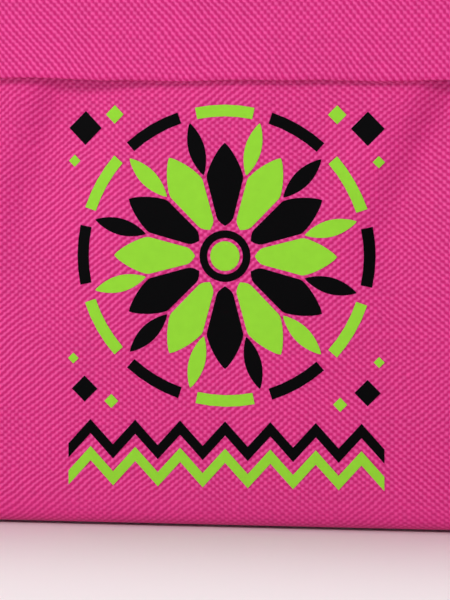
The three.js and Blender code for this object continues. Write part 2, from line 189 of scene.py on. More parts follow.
class Finish:
    """One material's node tree, with short calls for the nodes that the finishes share."""

    def __init__(self, name, roughness=0.6, metallic=0.0):
        self.material = bpy.data.materials.new(name)
        self.material.use_nodes = True
        self.tree = self.material.node_tree
        self.tree.nodes.clear()
        output = self.node("ShaderNodeOutputMaterial")
        self.shader = self.node("ShaderNodeBsdfPrincipled")
        self.tree.links.new(self.shader.outputs["BSDF"], output.inputs["Surface"])
        self.shader.inputs["Roughness"].default_value = roughness
        self.shader.inputs["Metallic"].default_value = metallic

    def node(self, kind, **settings):
        made = self.tree.nodes.new(kind)
        for key, value in settings.items():
            setattr(made, key, value)
        return made

    def feed(self, value, socket):
        if isinstance(value, bpy.types.NodeSocket):
            self.tree.links.new(value, socket)
        else:
            socket.default_value = value

    def math(self, operation, *values, clamp=False):
        made = self.node("ShaderNodeMath", operation=operation, use_clamp=clamp)
        for value, socket in zip(values, made.inputs):
            self.feed(value, socket)
        return made.outputs[0]

    def add(self, a, b):
        return self.math("ADD", a, b)

    def times(self, a, b):
        return self.math("MULTIPLY", a, b)

    def span(self, value, low, high, out_low=0.0, out_high=1.0):
        made = self.node("ShaderNodeMapRange", interpolation_type="SMOOTHSTEP")
        for key, entry in zip(("Value", "From Min", "From Max", "To Min", "To Max"),
                              (value, low, high, out_low, out_high)):
            self.feed(entry, made.inputs[key])
        return made.outputs[0]

    def noise(self, vector, scale, detail=2.0):
        made = self.node("ShaderNodeTexNoise")
        made.inputs["Scale"].default_value = scale
        made.inputs["Detail"].default_value = detail
        self.tree.links.new(vector, made.inputs["Vector"])
        return made.outputs[0]

    def per_yarn(self, number, seed):
        """A steady random value for each whole number."""
        made = self.node("ShaderNodeTexWhiteNoise", noise_dimensions="1D")
        self.tree.links.new(self.add(number, seed), made.inputs["W"])
        return made.outputs["Value"]

    def blend(self, factor, a, b, kind="MIX"):
        made = self.node("ShaderNodeMix", data_type="RGBA", blend_type=kind)
        self.feed(factor, made.inputs[0])
        for colour, socket in ((a, made.inputs[6]), (b, made.inputs[7])):
            self.feed(colour if isinstance(colour, bpy.types.NodeSocket) else (*colour, 1), socket)
        return made.outputs[2]

    def shade(self, colour, factor):
        """Colour made lighter or darker by a factor."""
        made = self.node("ShaderNodeVectorMath", operation="SCALE")
        self.feed(colour, made.inputs[0])
        self.feed(factor, made.inputs["Scale"])
        return made.outputs[0]

    def place(self):
        return self.node("ShaderNodeTexCoord").outputs["Object"]

    def cloth(self):
        """The cloth's own coordinates in millimetres, across and up, and as one vector."""
        found = self.node("ShaderNodeUVMap", uv_map=CLOTH_MAP)
        scaled = self.node("ShaderNodeVectorMath", operation="SCALE")
        scaled.inputs["Scale"].default_value = 1000
        self.tree.links.new(found.outputs[0], scaled.inputs[0])
        parts = self.node("ShaderNodeSeparateXYZ")
        self.tree.links.new(scaled.outputs[0], parts.inputs[0])
        return parts.outputs[0], parts.outputs[1], scaled.outputs[0]

    def colour(self, value):
        self.feed(value if isinstance(value, bpy.types.NodeSocket) else (*value, 1),
                  self.shader.inputs["Base Color"])

    def rough(self, value):
        self.feed(value, self.shader.inputs["Roughness"])

    def bump(self, height, distance, strength=1.0):
        made = self.node("ShaderNodeBump")
        made.inputs["Distance"].default_value = distance
        made.inputs["Strength"].default_value = strength
        self.tree.links.new(height, made.inputs["Height"])
        self.tree.links.new(made.outputs[0], self.shader.inputs["Normal"])


def plain_weave(finish, pitch_across, pitch_up, wander=0.35, long_yarns=0.3, lean=(0.0, 0.5, 0.0)):
    """Height of a plain weave, how far its upright yarns are on top, and the number of each yarn.

    long_yarns draws the raised yarns out upwards, or level where it is negative. lean is how far the
    raised yarns lean to the right, so that they run together on the slant: in the middle, how much it
    differs from patch to patch, and how much it grows with each millimetre to the right.
    """
    across, up, both = finish.cloth()
    drift = finish.times(finish.add(finish.noise(both, 0.11), -0.5), wander * 3)
    drift_up = finish.times(finish.add(finish.noise(both, 0.16), -0.5), wander * 3)
    u = finish.math("DIVIDE", finish.add(across, drift), pitch_across)
    v = finish.math("DIVIDE", finish.add(up, drift_up), pitch_up)
    column, row = finish.math("ROUND", u), finish.math("ROUND", v)
    off_column = finish.times(finish.math("SUBTRACT", u, column), math.pi)
    off_row = finish.times(finish.math("SUBTRACT", v, row), math.pi)
    in_column, in_row = finish.math("COSINE", off_column), finish.math("COSINE", off_row)
    parity = finish.math("PINGPONG", finish.add(column, row), 1.0)
    sign = finish.add(finish.times(parity, -2.0), 1.0)
    warp = finish.add(finish.times(in_column, 0.55), finish.times(finish.times(sign, in_row), 0.45))
    weft = finish.math("SUBTRACT", finish.times(in_row, 0.55),
                       finish.times(finish.times(sign, in_column), 0.45))
    height = finish.math("SMOOTH_MAX", warp, weft, 0.15)
    float_here = finish.times(finish.times(sign, in_column), in_row)
    drawn_out = finish.times(finish.math("SUBTRACT", in_column, in_row), long_yarns)
    corner = finish.times(sign, finish.times(finish.math("SINE", off_column), finish.math("SINE", off_row)))
    middle, change, growth = lean
    patch = finish.span(finish.noise(both, 0.06, 1.0), 0.4, 0.6, middle - change, middle + change)
    patch = finish.add(patch, finish.times(across, growth))
    over = finish.add(finish.add(float_here, drawn_out), finish.times(corner, patch))
    return height, finish.span(over, -0.9, 1.3), column, row, both


def woven_cloth(name, looks, pitches, long_yarns=0.3, lean=(0.0, 0.3, 0.0), tone=1.0, seed=0.0, rubbed=False):
    """Plain-woven polyester, with a painted highlight on the raised yarns and painted shade on the sunken
    ones.

    Where it is rubbed, its lowest edge is smoother from wear and paler from painted light that lifts the
    shade where the cloth rolls under.
    """
    finish = Finish(name)
    height, on_top, column, row, both = plain_weave(finish, *pitches, long_yarns=long_yarns, lean=lean)
    if rubbed:
        _, up, _ = finish.cloth()
        pressed = finish.span(up, -6.0, 9.0, 0.35, 1.0)
        on_top = finish.add(finish.times(finish.add(on_top, -0.5), pressed), 0.5)
        height = finish.times(height, pressed)
    # Painted shade on the sunken yarns and painted highlight on the raised ones, blended by which yarn lies
    # on top.
    colour = finish.blend(on_top, looks.dark, looks.light)
    streak = finish.add(finish.per_yarn(column, seed), finish.per_yarn(row, seed + 0.37))
    patch = finish.noise(both, 0.045, 3.0)
    fine = finish.noise(both, 0.9, 2.0)
    change = finish.add(finish.times(streak, 0.035), finish.times(patch, 0.14))
    change = finish.add(change, finish.times(fine, 0.22))
    # Painted light: up to 16% paler along the lowest edge, lifting the shade where the cloth rolls under
    # towards the floor.
    if rubbed:
        change = finish.add(change, finish.span(up, -7.0, 4.0, 0.16, 0.0))
    finish.colour(finish.shade(colour, finish.times(finish.add(change, 0.785), tone)))
    finish.rough(finish.span(on_top, 0.0, 1.0, 0.72, 0.5))
    finish.shader.inputs["Specular IOR Level"].default_value = 0.2
    finish.shader.inputs["Sheen Weight"].default_value = 0.03
    finish.shader.inputs["Sheen Roughness"].default_value = 0.5
    finish.bump(height, 0.00012, 0.6)
    return finish.material


def ribbed_webbing(name, colour, rib=1.25, pick=0.95):
    """Webbing with lengthwise ribs that slanting picks cross."""
    finish = Finish(name, roughness=0.6)
    along, over, both = finish.cloth()
    ribs = finish.math("DIVIDE", over, rib)
    number = finish.math("ROUND", ribs)
    side = finish.math("SUBTRACT", ribs, number)
    crown = finish.math("COSINE", finish.times(side, math.pi))
    lean = finish.times(finish.add(finish.times(finish.math("PINGPONG", number, 1.0), 2.0), -1.0), side)
    picks = finish.math("SINE", finish.times(finish.add(finish.math("DIVIDE", along, pick), lean), math.tau))
    height = finish.add(finish.times(crown, 0.65), finish.times(picks, 0.3))
    # Painted highlight on the ribs' crowns and painted shade between them, with random tone from the noise.
    shade = finish.add(finish.span(height, -0.2, 0.9, 0.5, 1.12), finish.times(finish.noise(both, 0.7), 0.12))
    finish.colour(finish.shade(colour, shade))
    finish.shader.inputs["Sheen Weight"].default_value = 0.15
    finish.shader.inputs["Specular IOR Level"].default_value = 0.4
    finish.bump(height, 0.00022, 0.8)
    return finish.material


def spacer_mesh(name, colour):
    """Soft mesh cloth with rows of small round holes."""
    finish = Finish(name, roughness=0.85)
    across, up, both = finish.cloth()
    pitch, rise = 1.9, 1.5
    row = finish.math("ROUND", finish.math("DIVIDE", up, rise))
    shift = finish.times(finish.math("PINGPONG", row, 1.0), 0.5)
    shifted = finish.add(finish.math("DIVIDE", across, pitch), shift)
    x = finish.times(finish.math("SUBTRACT", shifted, finish.math("ROUND", shifted)), pitch)
    y = finish.math("SUBTRACT", up, finish.times(row, rise))
    away = finish.math("SQRT", finish.add(finish.times(x, x), finish.times(y, y)))
    cloth = finish.span(away, 0.3, 0.62)
    # The holes are painted dark as the shade inside them, with random tone from the noise.
    shade = finish.add(finish.times(cloth, 0.75), finish.times(finish.noise(both, 2.0), 0.3))
    finish.colour(finish.shade(colour, shade))
    finish.shader.inputs["Sheen Weight"].default_value = 0.2
    finish.bump(cloth, 0.0005, 0.9)
    return finish.material


def zip_tape_cloth(name, colour):
    """The close, fine weave of a zip's tape, with its raised edge cords."""
    finish = Finish(name, roughness=0.72)
    height, on_top, _, _, both = plain_weave(finish, 0.42, 0.5, 0.1)
    # Painted highlight on the raised yarns, with random tone from the noise.
    shade = finish.add(finish.times(on_top, 0.35), finish.times(finish.noise(both, 0.6), 0.2))
    finish.colour(finish.shade(colour, finish.add(shade, 0.65)))
    finish.bump(height, 0.0001, 0.7)
    return finish.material


def nylon(name, colour):
    """The satin nylon of zip coils and sewing thread."""
    finish = Finish(name, roughness=0.42)
    place = finish.place()
    finish.colour(finish.shade(colour, finish.add(finish.times(finish.noise(place, 900.0), 0.4), 0.8)))
    finish.bump(finish.noise(place, 5000.0), 0.00004, 0.5)
    return finish.material


def moulded_plastic(name, colour):
    """Satin moulded plastic with a fine spark-eroded grain and slightly lighter, rubbed places."""
    finish = Finish(name, roughness=0.42)
    place = finish.place()
    rubbed = finish.span(finish.noise(place, 60.0, 4.0), 0.5, 0.75)
    finish.colour(finish.blend(rubbed, colour, tuple(min(1, c * 1.25 + 0.01) for c in colour)))
    finish.rough(finish.span(finish.noise(place, 140.0, 5.0), 0.3, 0.7, 0.34, 0.5))
    finish.shader.inputs["Specular IOR Level"].default_value = 0.5
    finish.bump(finish.noise(place, 3500.0, 1.0), 0.00003, 0.6)
    return finish.material


def plated_metal(name):
    """Nickel plate with light handling marks."""
    finish = Finish(name, roughness=0.25, metallic=1.0)
    place = finish.place()
    marks = finish.noise(place, 400.0, 5.0)
    finish.colour(finish.blend(finish.span(marks, 0.35, 0.7), (0.52, 0.52, 0.54), (0.72, 0.72, 0.73)))
    finish.rough(finish.span(marks, 0.3, 0.75, 0.2, 0.42))
    finish.bump(finish.noise(place, 1800.0, 3.0), 0.00002, 0.4)
    return finish.material


def printed_ink(name, colour, pitches):
    """Flat, opaque ink that fills the weave, with a faint trace of it and a little uneven laydown."""
    finish = Finish(name, roughness=0.55)
    height, _, _, _, both = plain_weave(finish, *pitches)
    finish.colour(finish.shade(colour, finish.add(finish.times(finish.noise(both, 0.5, 3.0), 0.12), 0.94)))
    finish.shader.inputs["Specular IOR Level"].default_value = 0.02
    finish.bump(height, 0.00002, 0.35)
    return finish.material


def painted_floor(name):
    """A pale matt studio floor."""
    finish = Finish(name, roughness=0.9)
    place = finish.place()
    shade = finish.add(finish.times(finish.noise(place, 6.0), 0.04), 0.97)
    finish.colour(finish.shade((0.86, 0.85, 0.85), shade))
    finish.shader.inputs["Specular IOR Level"].default_value = 0.2
    return finish.material


def finish_of(name):
    """The material of that name, made the first time that it is asked for."""
    made = bpy.data.materials.get(name)
    if made:
        return made
    looks = bpy.context.scene.belt_bag_cloth
    across, along = looks.across * 1000, looks.along * 1000
    makers = {
        # The pocket cloth's lowest edge is worn smoother and also painted paler with light.
        "pocket_cloth": lambda: woven_cloth(
            name, looks, (across, along), lean=(0.25, 0.3, -0.006), rubbed=True),
        "flap_cloth": lambda: woven_cloth(
            name, looks, (along * 1.045, across * 0.99), -0.3, (-0.42, 0.15, 0.0), 1.02, 5.0),
        "gusset_cloth": lambda: woven_cloth(name, looks, (along, across), tone=0.98, seed=9.0),
        "belt_webbing": lambda: ribbed_webbing(name, tuple(looks.webbing)),
        "binding": lambda: ribbed_webbing(name, tuple(looks.webbing), 0.9, 0.8),
        "back_mesh": lambda: spacer_mesh(name, tuple(c * 0.85 for c in looks.webbing)),
        "tape_weave": lambda: zip_tape_cloth(name, tuple(looks.webbing)),
        "zip_coil": lambda: nylon(name, tuple(c * 0.85 for c in looks.webbing)),
        "thread": lambda: nylon(name, tuple(min(1.0, c * 1.15) for c in looks.webbing)),
        "buckle_plastic": lambda: moulded_plastic(name, tuple(looks.plastic)),
        "slider_metal": lambda: plated_metal(name),
        "ink_dark": lambda: printed_ink(name, tuple(looks.ink), (across, along)),
        "ink_bright": lambda: printed_ink(name, tuple(looks.bright_ink), (across, along)),
        "floor": lambda: painted_floor(name),
    }
    return makers[name]()


# Mesh building. Every length here is in millimetres until the piece is made.

class Sheet:
    """A mesh under construction, with cloth coordinates on each face."""

    def __init__(self):
        self.bm = bmesh.new()
        self.map = self.bm.loops.layers.uv.new(CLOTH_MAP)

    def face(self, verts, places, slot=0):
        distinct = [(v, p) for i, (v, p) in enumerate(zip(verts, places)) if v is not verts[i - 1]]
        if len({v for v, _ in distinct}) < 3:
            return
        made = self.bm.faces.new([v for v, _ in distinct])
        made.smooth = True
        made.material_index = slot
        for loop, (_, place) in zip(made.loops, distinct):
            loop[self.map].uv = (place[0] / 1000, place[1] / 1000)

    def rows(self, rows, places, closed=False, slot=0):
        """Quads between rows of points. A closed row has one place more than it has points."""
        made = [[self.bm.verts.new(p) for p in row] for row in rows]
        self.between(made, places, closed, slot)
        return made

    def between(self, made, places, closed=False, slot=0):
        count = len(made[0])
        for r in range(len(made) - 1):
            for i in range(count if closed else count - 1):
                j = (i + 1) % count
                corners = (made[r][i], made[r][j], made[r + 1][j], made[r + 1][i])
                spots = (places[r][i], places[r][i + 1], places[r + 1][i + 1], places[r + 1][i])
                self.face(corners, spots, slot)

    def ends(self, made, places):
        """Closes both ends of rows that run round a section."""
        for row, spots in ((made[0], places[0]), (made[-1], places[-1])):
            self.face(row, spots[:-1])

    def piece(self, name, body, materials, slot, replaces=()):
        """Turns the mesh into an object that rides on a body."""
        bmesh.ops.recalc_face_normals(self.bm, faces=self.bm.faces)
        bmesh.ops.scale(self.bm, vec=(0.001,) * 3, verts=self.bm.verts)
        mesh = bpy.data.meshes.new(name)
        self.bm.to_mesh(mesh)
        self.bm.free()
        for material in materials:
            mesh.materials.append(finish_of(material))
        made = bpy.data.objects.new(name, mesh)
        bpy.context.scene.collection.objects.link(made)
        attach(made, body)
        if replaces:
            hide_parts(*replaces)
        return made


def outline_ring(bag, y, inset=0.0):
    """Round the bag at depth y: each point, with the way out of the outline there."""
    share = (bag.back - y) / (bag.back - bag.front)
    top = bag.top_back + (bag.top_front - bag.top_back) * share
    half = bag.width / 2
    arcs = (
        (half - bag.low, bag.low, bag.low, -90), (half - bag.high, top - bag.high, bag.high, 0),
        (bag.high - half, top - bag.high, bag.high, 90), (bag.low - half, bag.low, bag.low, 180))
    ring = []
    for index, (x, z, radius, start) in enumerate(arcs):
        next_x, next_z, next_radius, _ = arcs[(index + 1) % 4]
        turns = [(0.0, start + 90 * step / ARC_STEPS) for step in range(ARC_STEPS + 1)]
        steps = STRAIGHT_STEPS[index]
        turns += [(step / steps, start + 90) for step in range(1, steps)]
        for share, degrees in turns:
            out = Vector((math.cos(math.radians(degrees)), math.sin(math.radians(degrees))))
            centre = Vector((x + (next_x - x) * share, z + (next_z - z) * share))
            reach = radius + (next_radius - radius) * share - inset
            ring.append((centre + out * reach, out))
    return ring


def ripple(x, z, scale, seed):
    """Smooth unevenness between -1 and 1, with bumps of about the scale's size."""
    return noise.noise(Vector((x / scale, z / scale, seed)))


def fold_line(x, z, start, end, width_left, width_right):
    """1 along a straight soft fold that runs down, and fading off it to either side and past its ends."""
    run = Vector(end) - Vector(start)
    off = Vector((x, z)) - Vector(start)
    share = max(0.0, min(1.0, off.dot(run) / run.length_squared))
    away = (off - run * share).length
    to_right = (run.x * off.y - run.y * off.x) / (run.length * max(away, 1e-6))
    width = width_left + (width_right - width_left) * (1 + max(-1.0, min(1.0, to_right))) / 2
    return math.exp(-((away / width) ** 2) / 2) * (1 - 0.6 * share)


def pucker(x, z, at, size, lean=0.0):
    """A soft dent around a place, which may lean to one side."""
    dx = (x - at[0] - lean * (z - at[1])) / size[0]
    dz = (z - at[1]) / size[1]
    return math.exp(-(dx * dx + dz * dz) / 2)


def dents_at(x, z, dents):
    """Depth of a table of dents at a place."""
    return sum(depth * pucker(x, z, at, size, lean) for depth, at, size, lean in dents)


def pocket_relief(x, z):
    """How far the pocket's cloth stands out from flat, in millimetres."""
    top_crown = 0.5 + 0.2 * max(-1.0, min(1.0, x / 40))
    crown = max(0.0, 1 - (x / 108) ** 2) * (
        max(0.0, 1 - ((z - 44) / 40) ** 2) * 0.3 + top_crown * math.exp(-((z - 80) / 16) ** 2))
    folds = sum(depth * fold_line(x, z, *fold) for depth, *fold in POCKET_FOLDS)
    rough = 0.1 * ripple(x, z, 16, 3.1) + 0.05 * ripple(x, z, 7, 8.4)
    return crown - dents_at(x, z, POCKET_DENTS) - folds + rough


def flap_relief(x, z):
    """How far the upper front's cloth stands out from flat, in millimetres."""
    return 0.12 * ripple(x, z, 18, 5.7) + 0.05 * ripple(x, z, 8, 1.2) - dents_at(x, z, FLAP_DENTS)


def rolled_profile(bag, face, start, steps=16):
    """From the side wall to the flat face: inset, depth and length of cloth left to the face."""
    turns = [math.pi / 2 * k / steps for k in range(steps + 1)]
    wall, power = bag.wall - SEAM_GAP, 2 / ROLL_FULLNESS
    rows = [(start + (bag.edge - start) * (1 - max(0.0, math.cos(a)) ** power),
             wall + (face - wall) * math.sin(a) ** power) for a in turns]
    lengths = [0.0]
    for (i0, y0), (i1, y1) in zip(rows[::-1], rows[::-1][1:]):
        lengths.append(lengths[-1] + math.hypot(i1 - i0, y1 - y0))
    return [(inset, y, left) for (inset, y), left in zip(rows, lengths[::-1])]


def pocket_depth(bag, z):
    """Depth of the pocket's flat face, or of its roll along the base, at a height."""
    if z >= bag.edge:
        return bag.pocket
    wall = bag.wall - SEAM_GAP
    swing = 1 - (max(z, SEAM_GAP) - SEAM_GAP) / (bag.edge - SEAM_GAP)
    return wall + (bag.pocket - wall) * max(0.0, 1 - swing ** ROLL_FULLNESS) ** (1 / ROLL_FULLNESS)


def rolled_front(bag, face, start, relief, inner_rows=34):
    """A front panel whose edges roll back to the side wall, with the cloth's lines straight over the roll."""
    sheet = Sheet()
    flat = outline_ring(bag, face, bag.edge)
    rows, places = [], []
    for inset, y, left in rolled_profile(bag, face, start):
        ring = outline_ring(bag, y, inset)
        amount = max(0.0, 1 - left / RELIEF_FADE)
        row = []
        for (point, _), (level, _) in zip(ring, flat):
            row.append(Vector((point.x, y - relief(level.x, level.y) * amount, point.y)))
        rows.append(row)
        spots = [(level.x + out.x * left, level.y + out.y * left) for level, out in flat]
        places.append([*spots, spots[0]])
    middle = (bag.edge + rows[-1][ARC_STEPS * 2].z) / 2
    reach = bag.width / 2 - bag.edge - MEDIAL_INSET
    for step in range(1, inner_rows + 1):
        share = step / inner_rows
        row, spots = [], []
        for level, _ in flat:
            target = Vector((max(-reach, min(reach, level.x)), middle))
            spot = level.lerp(target, share)
            row.append(Vector((spot.x, face - relief(spot.x, spot.y), spot.y)))
            spots.append((spot.x, spot.y))
        rows.append(row)
        places.append([*spots, spots[0]])
    sheet.rows(rows, places, closed=True)
    bmesh.ops.remove_doubles(sheet.bm, verts=sheet.bm.verts, dist=0.002)
    return sheet


def cut_level(sheet, height, keep_above):
    """Cuts a sheet at a height, keeps one side, and returns the cut edge's corners from left to right."""
    everything = [*sheet.bm.verts, *sheet.bm.edges, *sheet.bm.faces]
    bmesh.ops.bisect_plane(
        sheet.bm, geom=everything, dist=1e-4, plane_co=(0, 0, height), plane_no=(0, 0, 1),
        clear_inner=keep_above, clear_outer=not keep_above)
    edge = {v for e in sheet.bm.edges if e.is_boundary for v in e.verts if abs(v.co.z - height) < 1e-3}
    return sorted(edge, key=lambda v: v.co.x)


def continue_cloth(sheet, chain, moves):
    """Carries the cloth on from a chain of corners. Each move is inwards, up and the length of cloth used."""
    count = len(chain)
    spots = [tuple(c * 1000 for c in v.link_loops[0][sheet.map].uv) for v in chain]
    inward = []
    for i, v in enumerate(chain):
        step = chain[min(i + 1, count - 1)].co - chain[max(i - 1, 0)].co
        inward.append(Vector((-step.y, step.x, 0)).normalized())
    rows, places = [chain], [spots]
    for inside, up, length in moves:
        rows.append([sheet.bm.verts.new(v.co + inward[i] * inside + Vector((0, 0, up)))
                     for i, v in enumerate(chain)])
        places.append([(x, z + length) for x, z in spots])
    sheet.between(rows, places)


def smooth_step(value, low, high):
    """0 below low, 1 above high, and an even curve between them."""
    share = max(0.0, min(1.0, (value - low) / (high - low)))
    return share * share * (3 - 2 * share)


def flap_edge_wave(x):
    """How far the flap's lower edge departs from a straight line, in millimetres."""
    lift = 0.5 * (1 - smooth_step(x, -41, -18))
    return lift * smooth_step(x, -100, -60) + 0.09 * math.sin(x / 6.3) + 0.07 * math.sin(x / 2.9 + 1)


def tube(sheet, path, radius, up, sides=8, closed=False, squash=1.0):
    """A round or flattened cord along a path of points."""
    rows, places, run = [], [], 0.0
    count = len(path)
    for i, point in enumerate(path):
        before = path[i - 1] if closed or i else path[0]
        after = path[(i + 1) % count] if closed else path[min(i + 1, count - 1)]
        ahead = (after - before).normalized()
        side = ahead.cross(up).normalized()
        over = side.cross(ahead).normalized()
        if i:
            run += (point - path[i - 1]).length
        ring = [math.tau * k / sides for k in range(sides)]
        rows.append([point + (side * math.cos(a) + over * (math.sin(a) * squash)) * radius for a in ring])
        places.append([(run, radius * math.tau * k / sides) for k in range(sides + 1)])
    made = sheet.rows(rows, places, closed=True)
    if closed:
        last = run + (path[0] - path[-1]).length
        sheet.between([made[-1], made[0]], [places[-1], [(last, b) for _, b in places[0]]], closed=True)
    else:
        sheet.ends(made, places)


def stitch_row(sheet, path, normals, length=2.7, space=0.8, radius=0.21):
    """A row of sewn stitches that lies on a surface, each one a short thread that dips at both ends."""
    lengths = [0.0]
    for a, b in zip(path, path[1:]):
        lengths.append(lengths[-1] + (b - a).length)

    def at(distance):
        for i in range(len(path) - 1):
            if distance <= lengths[i + 1] or i == len(path) - 2:
                share = (distance - lengths[i]) / max(1e-6, lengths[i + 1] - lengths[i])
                return path[i].lerp(path[i + 1], share), normals[i].lerp(normals[i + 1], share).normalized()

    place = space
    while place + length < lengths[-1]:
        points = []
        for share, lift in ((0, -0.8), (0.12, 0.15), (0.5, 0.45), (0.88, 0.15), (1, -0.8)):
            spot, normal = at(place + length * share)
            points.append(spot + normal * (radius * lift))
        middle_normal = at(place + length / 2)[1]
        tube(sheet, points, radius, sides=6, up=middle_normal)
        place += length + space


def puff_up(piece, held, pressure, most):
    """Fills out a padded piece by a short cloth simulation, in which no corner moves further than most.

    held says of each corner's place whether a seam holds it there.
    """
    seams = piece.vertex_groups.new(name="seams")
    seams.add([v.index for v in piece.data.vertices if held(v.co * 1000)], 1.0, "REPLACE")
    cloth = piece.modifiers.new("filling", "CLOTH")
    cloth.settings.quality = 5
    cloth.settings.use_pressure = True
    cloth.settings.uniform_pressure_force = pressure
    cloth.settings.effector_weights.gravity = 0
    cloth.settings.vertex_group_mass = "seams"
    cloth.point_cache.frame_start, cloth.point_cache.frame_end = 1, PUFF_FRAMES
    scene = bpy.context.scene
    for step in range(1, PUFF_FRAMES + 1):
        scene.frame_set(step)
    filled = piece.evaluated_get(bpy.context.evaluated_depsgraph_get())
    moves = [now.co - was.co for now, was in zip(filled.data.vertices, piece.data.vertices)]
    piece.modifiers.remove(cloth)
    piece.vertex_groups.remove(seams)
    for v, move in zip(piece.data.vertices, moves):
        v.co += move * min(1.0, most / 1000 / max(move.length, 1e-9))
    scene.frame_set(1)


def smooth_places(places, parts):
    """Rounds off a row of places by passing a curve through them."""
    made = []
    points = [Vector(p) for p in places]
    for i in range(len(points) - 1):
        a, b = points[i], points[i + 1]
        before, after = points[max(i - 1, 0)], points[min(i + 2, len(points) - 1)]
        for k in range(parts):
            t = k / parts
            made.append(0.5 * (2 * a + (b - before) * t + (2 * before - 5 * a + 4 * b - after) * t * t
                               + (3 * a - before - 3 * b + after) * t ** 3))
    return [*made, points[-1]]


def mirrored(side, *middle):
    """Places on one side of a section, then any in its middle, then the mirror image of the first."""
    return [*((-a, b) for a, b in side), *middle, *reversed(side)]


def flat_section(edge, thick):
    """Section of flat ribbon: the upper face from the shape of one edge, then the same below."""
    over = mirrored(edge)
    return [(w, t * thick) for w, t in (*over, *((w, -t) for w, t in reversed(over)))]


def corner_arc(x, y, radius, start, steps):
    """Places on a quarter circle that starts at an angle in degrees."""
    turns = (math.radians(start + 90 * k / steps) for k in range(steps + 1))
    return [(x + radius * math.cos(a), y + radius * math.sin(a)) for a in turns]


def ahead_at(path, i):
    """The way along a path at one of its points."""
    return (path[min(i + 1, len(path) - 1)] - path[max(i - 1, 0)]).normalized()


def strip(sheet, path, across, section):
    """Flat ribbon along a path, from a section in places across it and out of its face."""
    rows, places, run = [], [], 0.0
    for i, point in enumerate(path):
        out = across.cross(ahead_at(path, i)).normalized()
        if i:
            run += (point - path[i - 1]).length
        rows.append([point + across * w + out * t for w, t in section])
        places.append([(run, w) for w, _ in section] + [(run, section[0][0])])
    sheet.ends(sheet.rows(rows, places, closed=True), places)


def close_rim(sheet):
    """Joins the open edges of two layers."""
    bmesh.ops.bridge_loops(sheet.bm, edges=[e for e in sheet.bm.edges if e.is_boundary])


# Pieces

def looking(stand, aim):
    """Where a camera or light stands, turned to look at a place."""
    return Matrix.Translation(stand) @ (aim - stand).to_track_quat("-Z", "Y").to_matrix().to_4x4()


class BELTBAG_OT_stage(bpy.types.Operator):
    """Lay the pale floor, and set up the camera and the soft lights"""

    bl_idname = "belt_bag.stage"
    bl_label = "Stage"

    def execute(self, context):
        scene = context.scene
        scene.view_settings.view_transform = "Standard"
        looks = scene.belt_bag_stage
        sheet = Sheet()
        reach = 3000
        rows = [[Vector((x * reach, y * reach, 0)) for x in (-1, 1)] for y in (-1, 1)]
        sheet.rows(rows, [[(0, 0), (1, 0)], [(0, 1), (1, 1)]])
        bmesh.ops.scale(sheet.bm, vec=(0.001,) * 3, verts=sheet.bm.verts)
        mesh = bpy.data.meshes.new("floor")
        sheet.bm.to_mesh(mesh)
        sheet.bm.free()
        mesh.materials.append(finish_of("floor"))
        floor = bpy.data.objects.new("floor", mesh)
        scene.collection.objects.link(floor)

        world = bpy.data.worlds.new("studio")
        scene.world = world
        world.use_nodes = True
        background = world.node_tree.nodes["Background"]
        background.inputs[0].default_value = (1.0, 0.95, 0.965, 1)
        background.inputs[1].default_value = 0.22

        aim = Vector(VIEW_MIDDLE)
        stand = aim + Vector((
            math.sin(looks.turn) * looks.distance, -math.cos(looks.turn) * looks.distance, CAMERA_RISE))
        camera = bpy.data.cameras.new("camera")
        camera.sensor_width = SENSOR
        camera.lens = SENSOR * looks.distance / VIEW_HEIGHT
        camera.clip_start = 0.01
        holder = bpy.data.objects.new("camera", camera)
        scene.collection.objects.link(holder)
        holder.matrix_world = looking(stand, aim)
        scene.camera = holder

        for name, spot, size, power in LIGHTS:
            lamp = bpy.data.lights.new(name, "AREA")
            lamp.shape = "DISK"
            lamp.size = size
            lamp.energy = getattr(looks, power)
            light = bpy.data.objects.new(name, lamp)
            scene.collection.objects.link(light)
            light.matrix_world = looking(Vector(spot), Vector(LIGHTS_MIDDLE))
        return {"FINISHED"}


class BELTBAG_OT_front_pocket(bpy.types.Operator):
    """Make the front pocket's cloth, tucked up behind the flap"""

    bl_idname = "belt_bag.front_pocket"
    bl_label = "Front pocket"

    def execute(self, context):
        bag = bag_shape()
        sheet = rolled_front(bag, bag.pocket, SEAM_GAP, pocket_relief)
        chain = cut_level(sheet, bag.flap_edge - 0.4, keep_above=False)
        tucked_half, ends_half, bend = 105, 103, 1.2
        rise = bag.tongue_top - bag.flap_edge - 0.8
        round_over = [(bend * (1 - math.cos(a)), rise + bend * math.sin(a), rise + bend * a)
                      for a in (math.radians(d) for d in (0, 30, 60, 90))]
        moves = [(0, rise / 2, rise / 2), *round_over, (7.4, rise + bend, rise + 8.4)]
        continue_cloth(sheet, [v for v in chain if abs(v.co.x) < tucked_half], moves)
        for sign in (-1, 1):
            end = [v for v in chain if v.co.x * sign > ends_half]
            continue_cloth(sheet, end, [(0, 1.6, 1.6), (0, 3.2, 3.2)])
        sheet.piece("pocket_cloth_panel", "bag", ["pocket_cloth"], "pocket_fabric", ["front_pocket"])
        return {"FINISHED"}


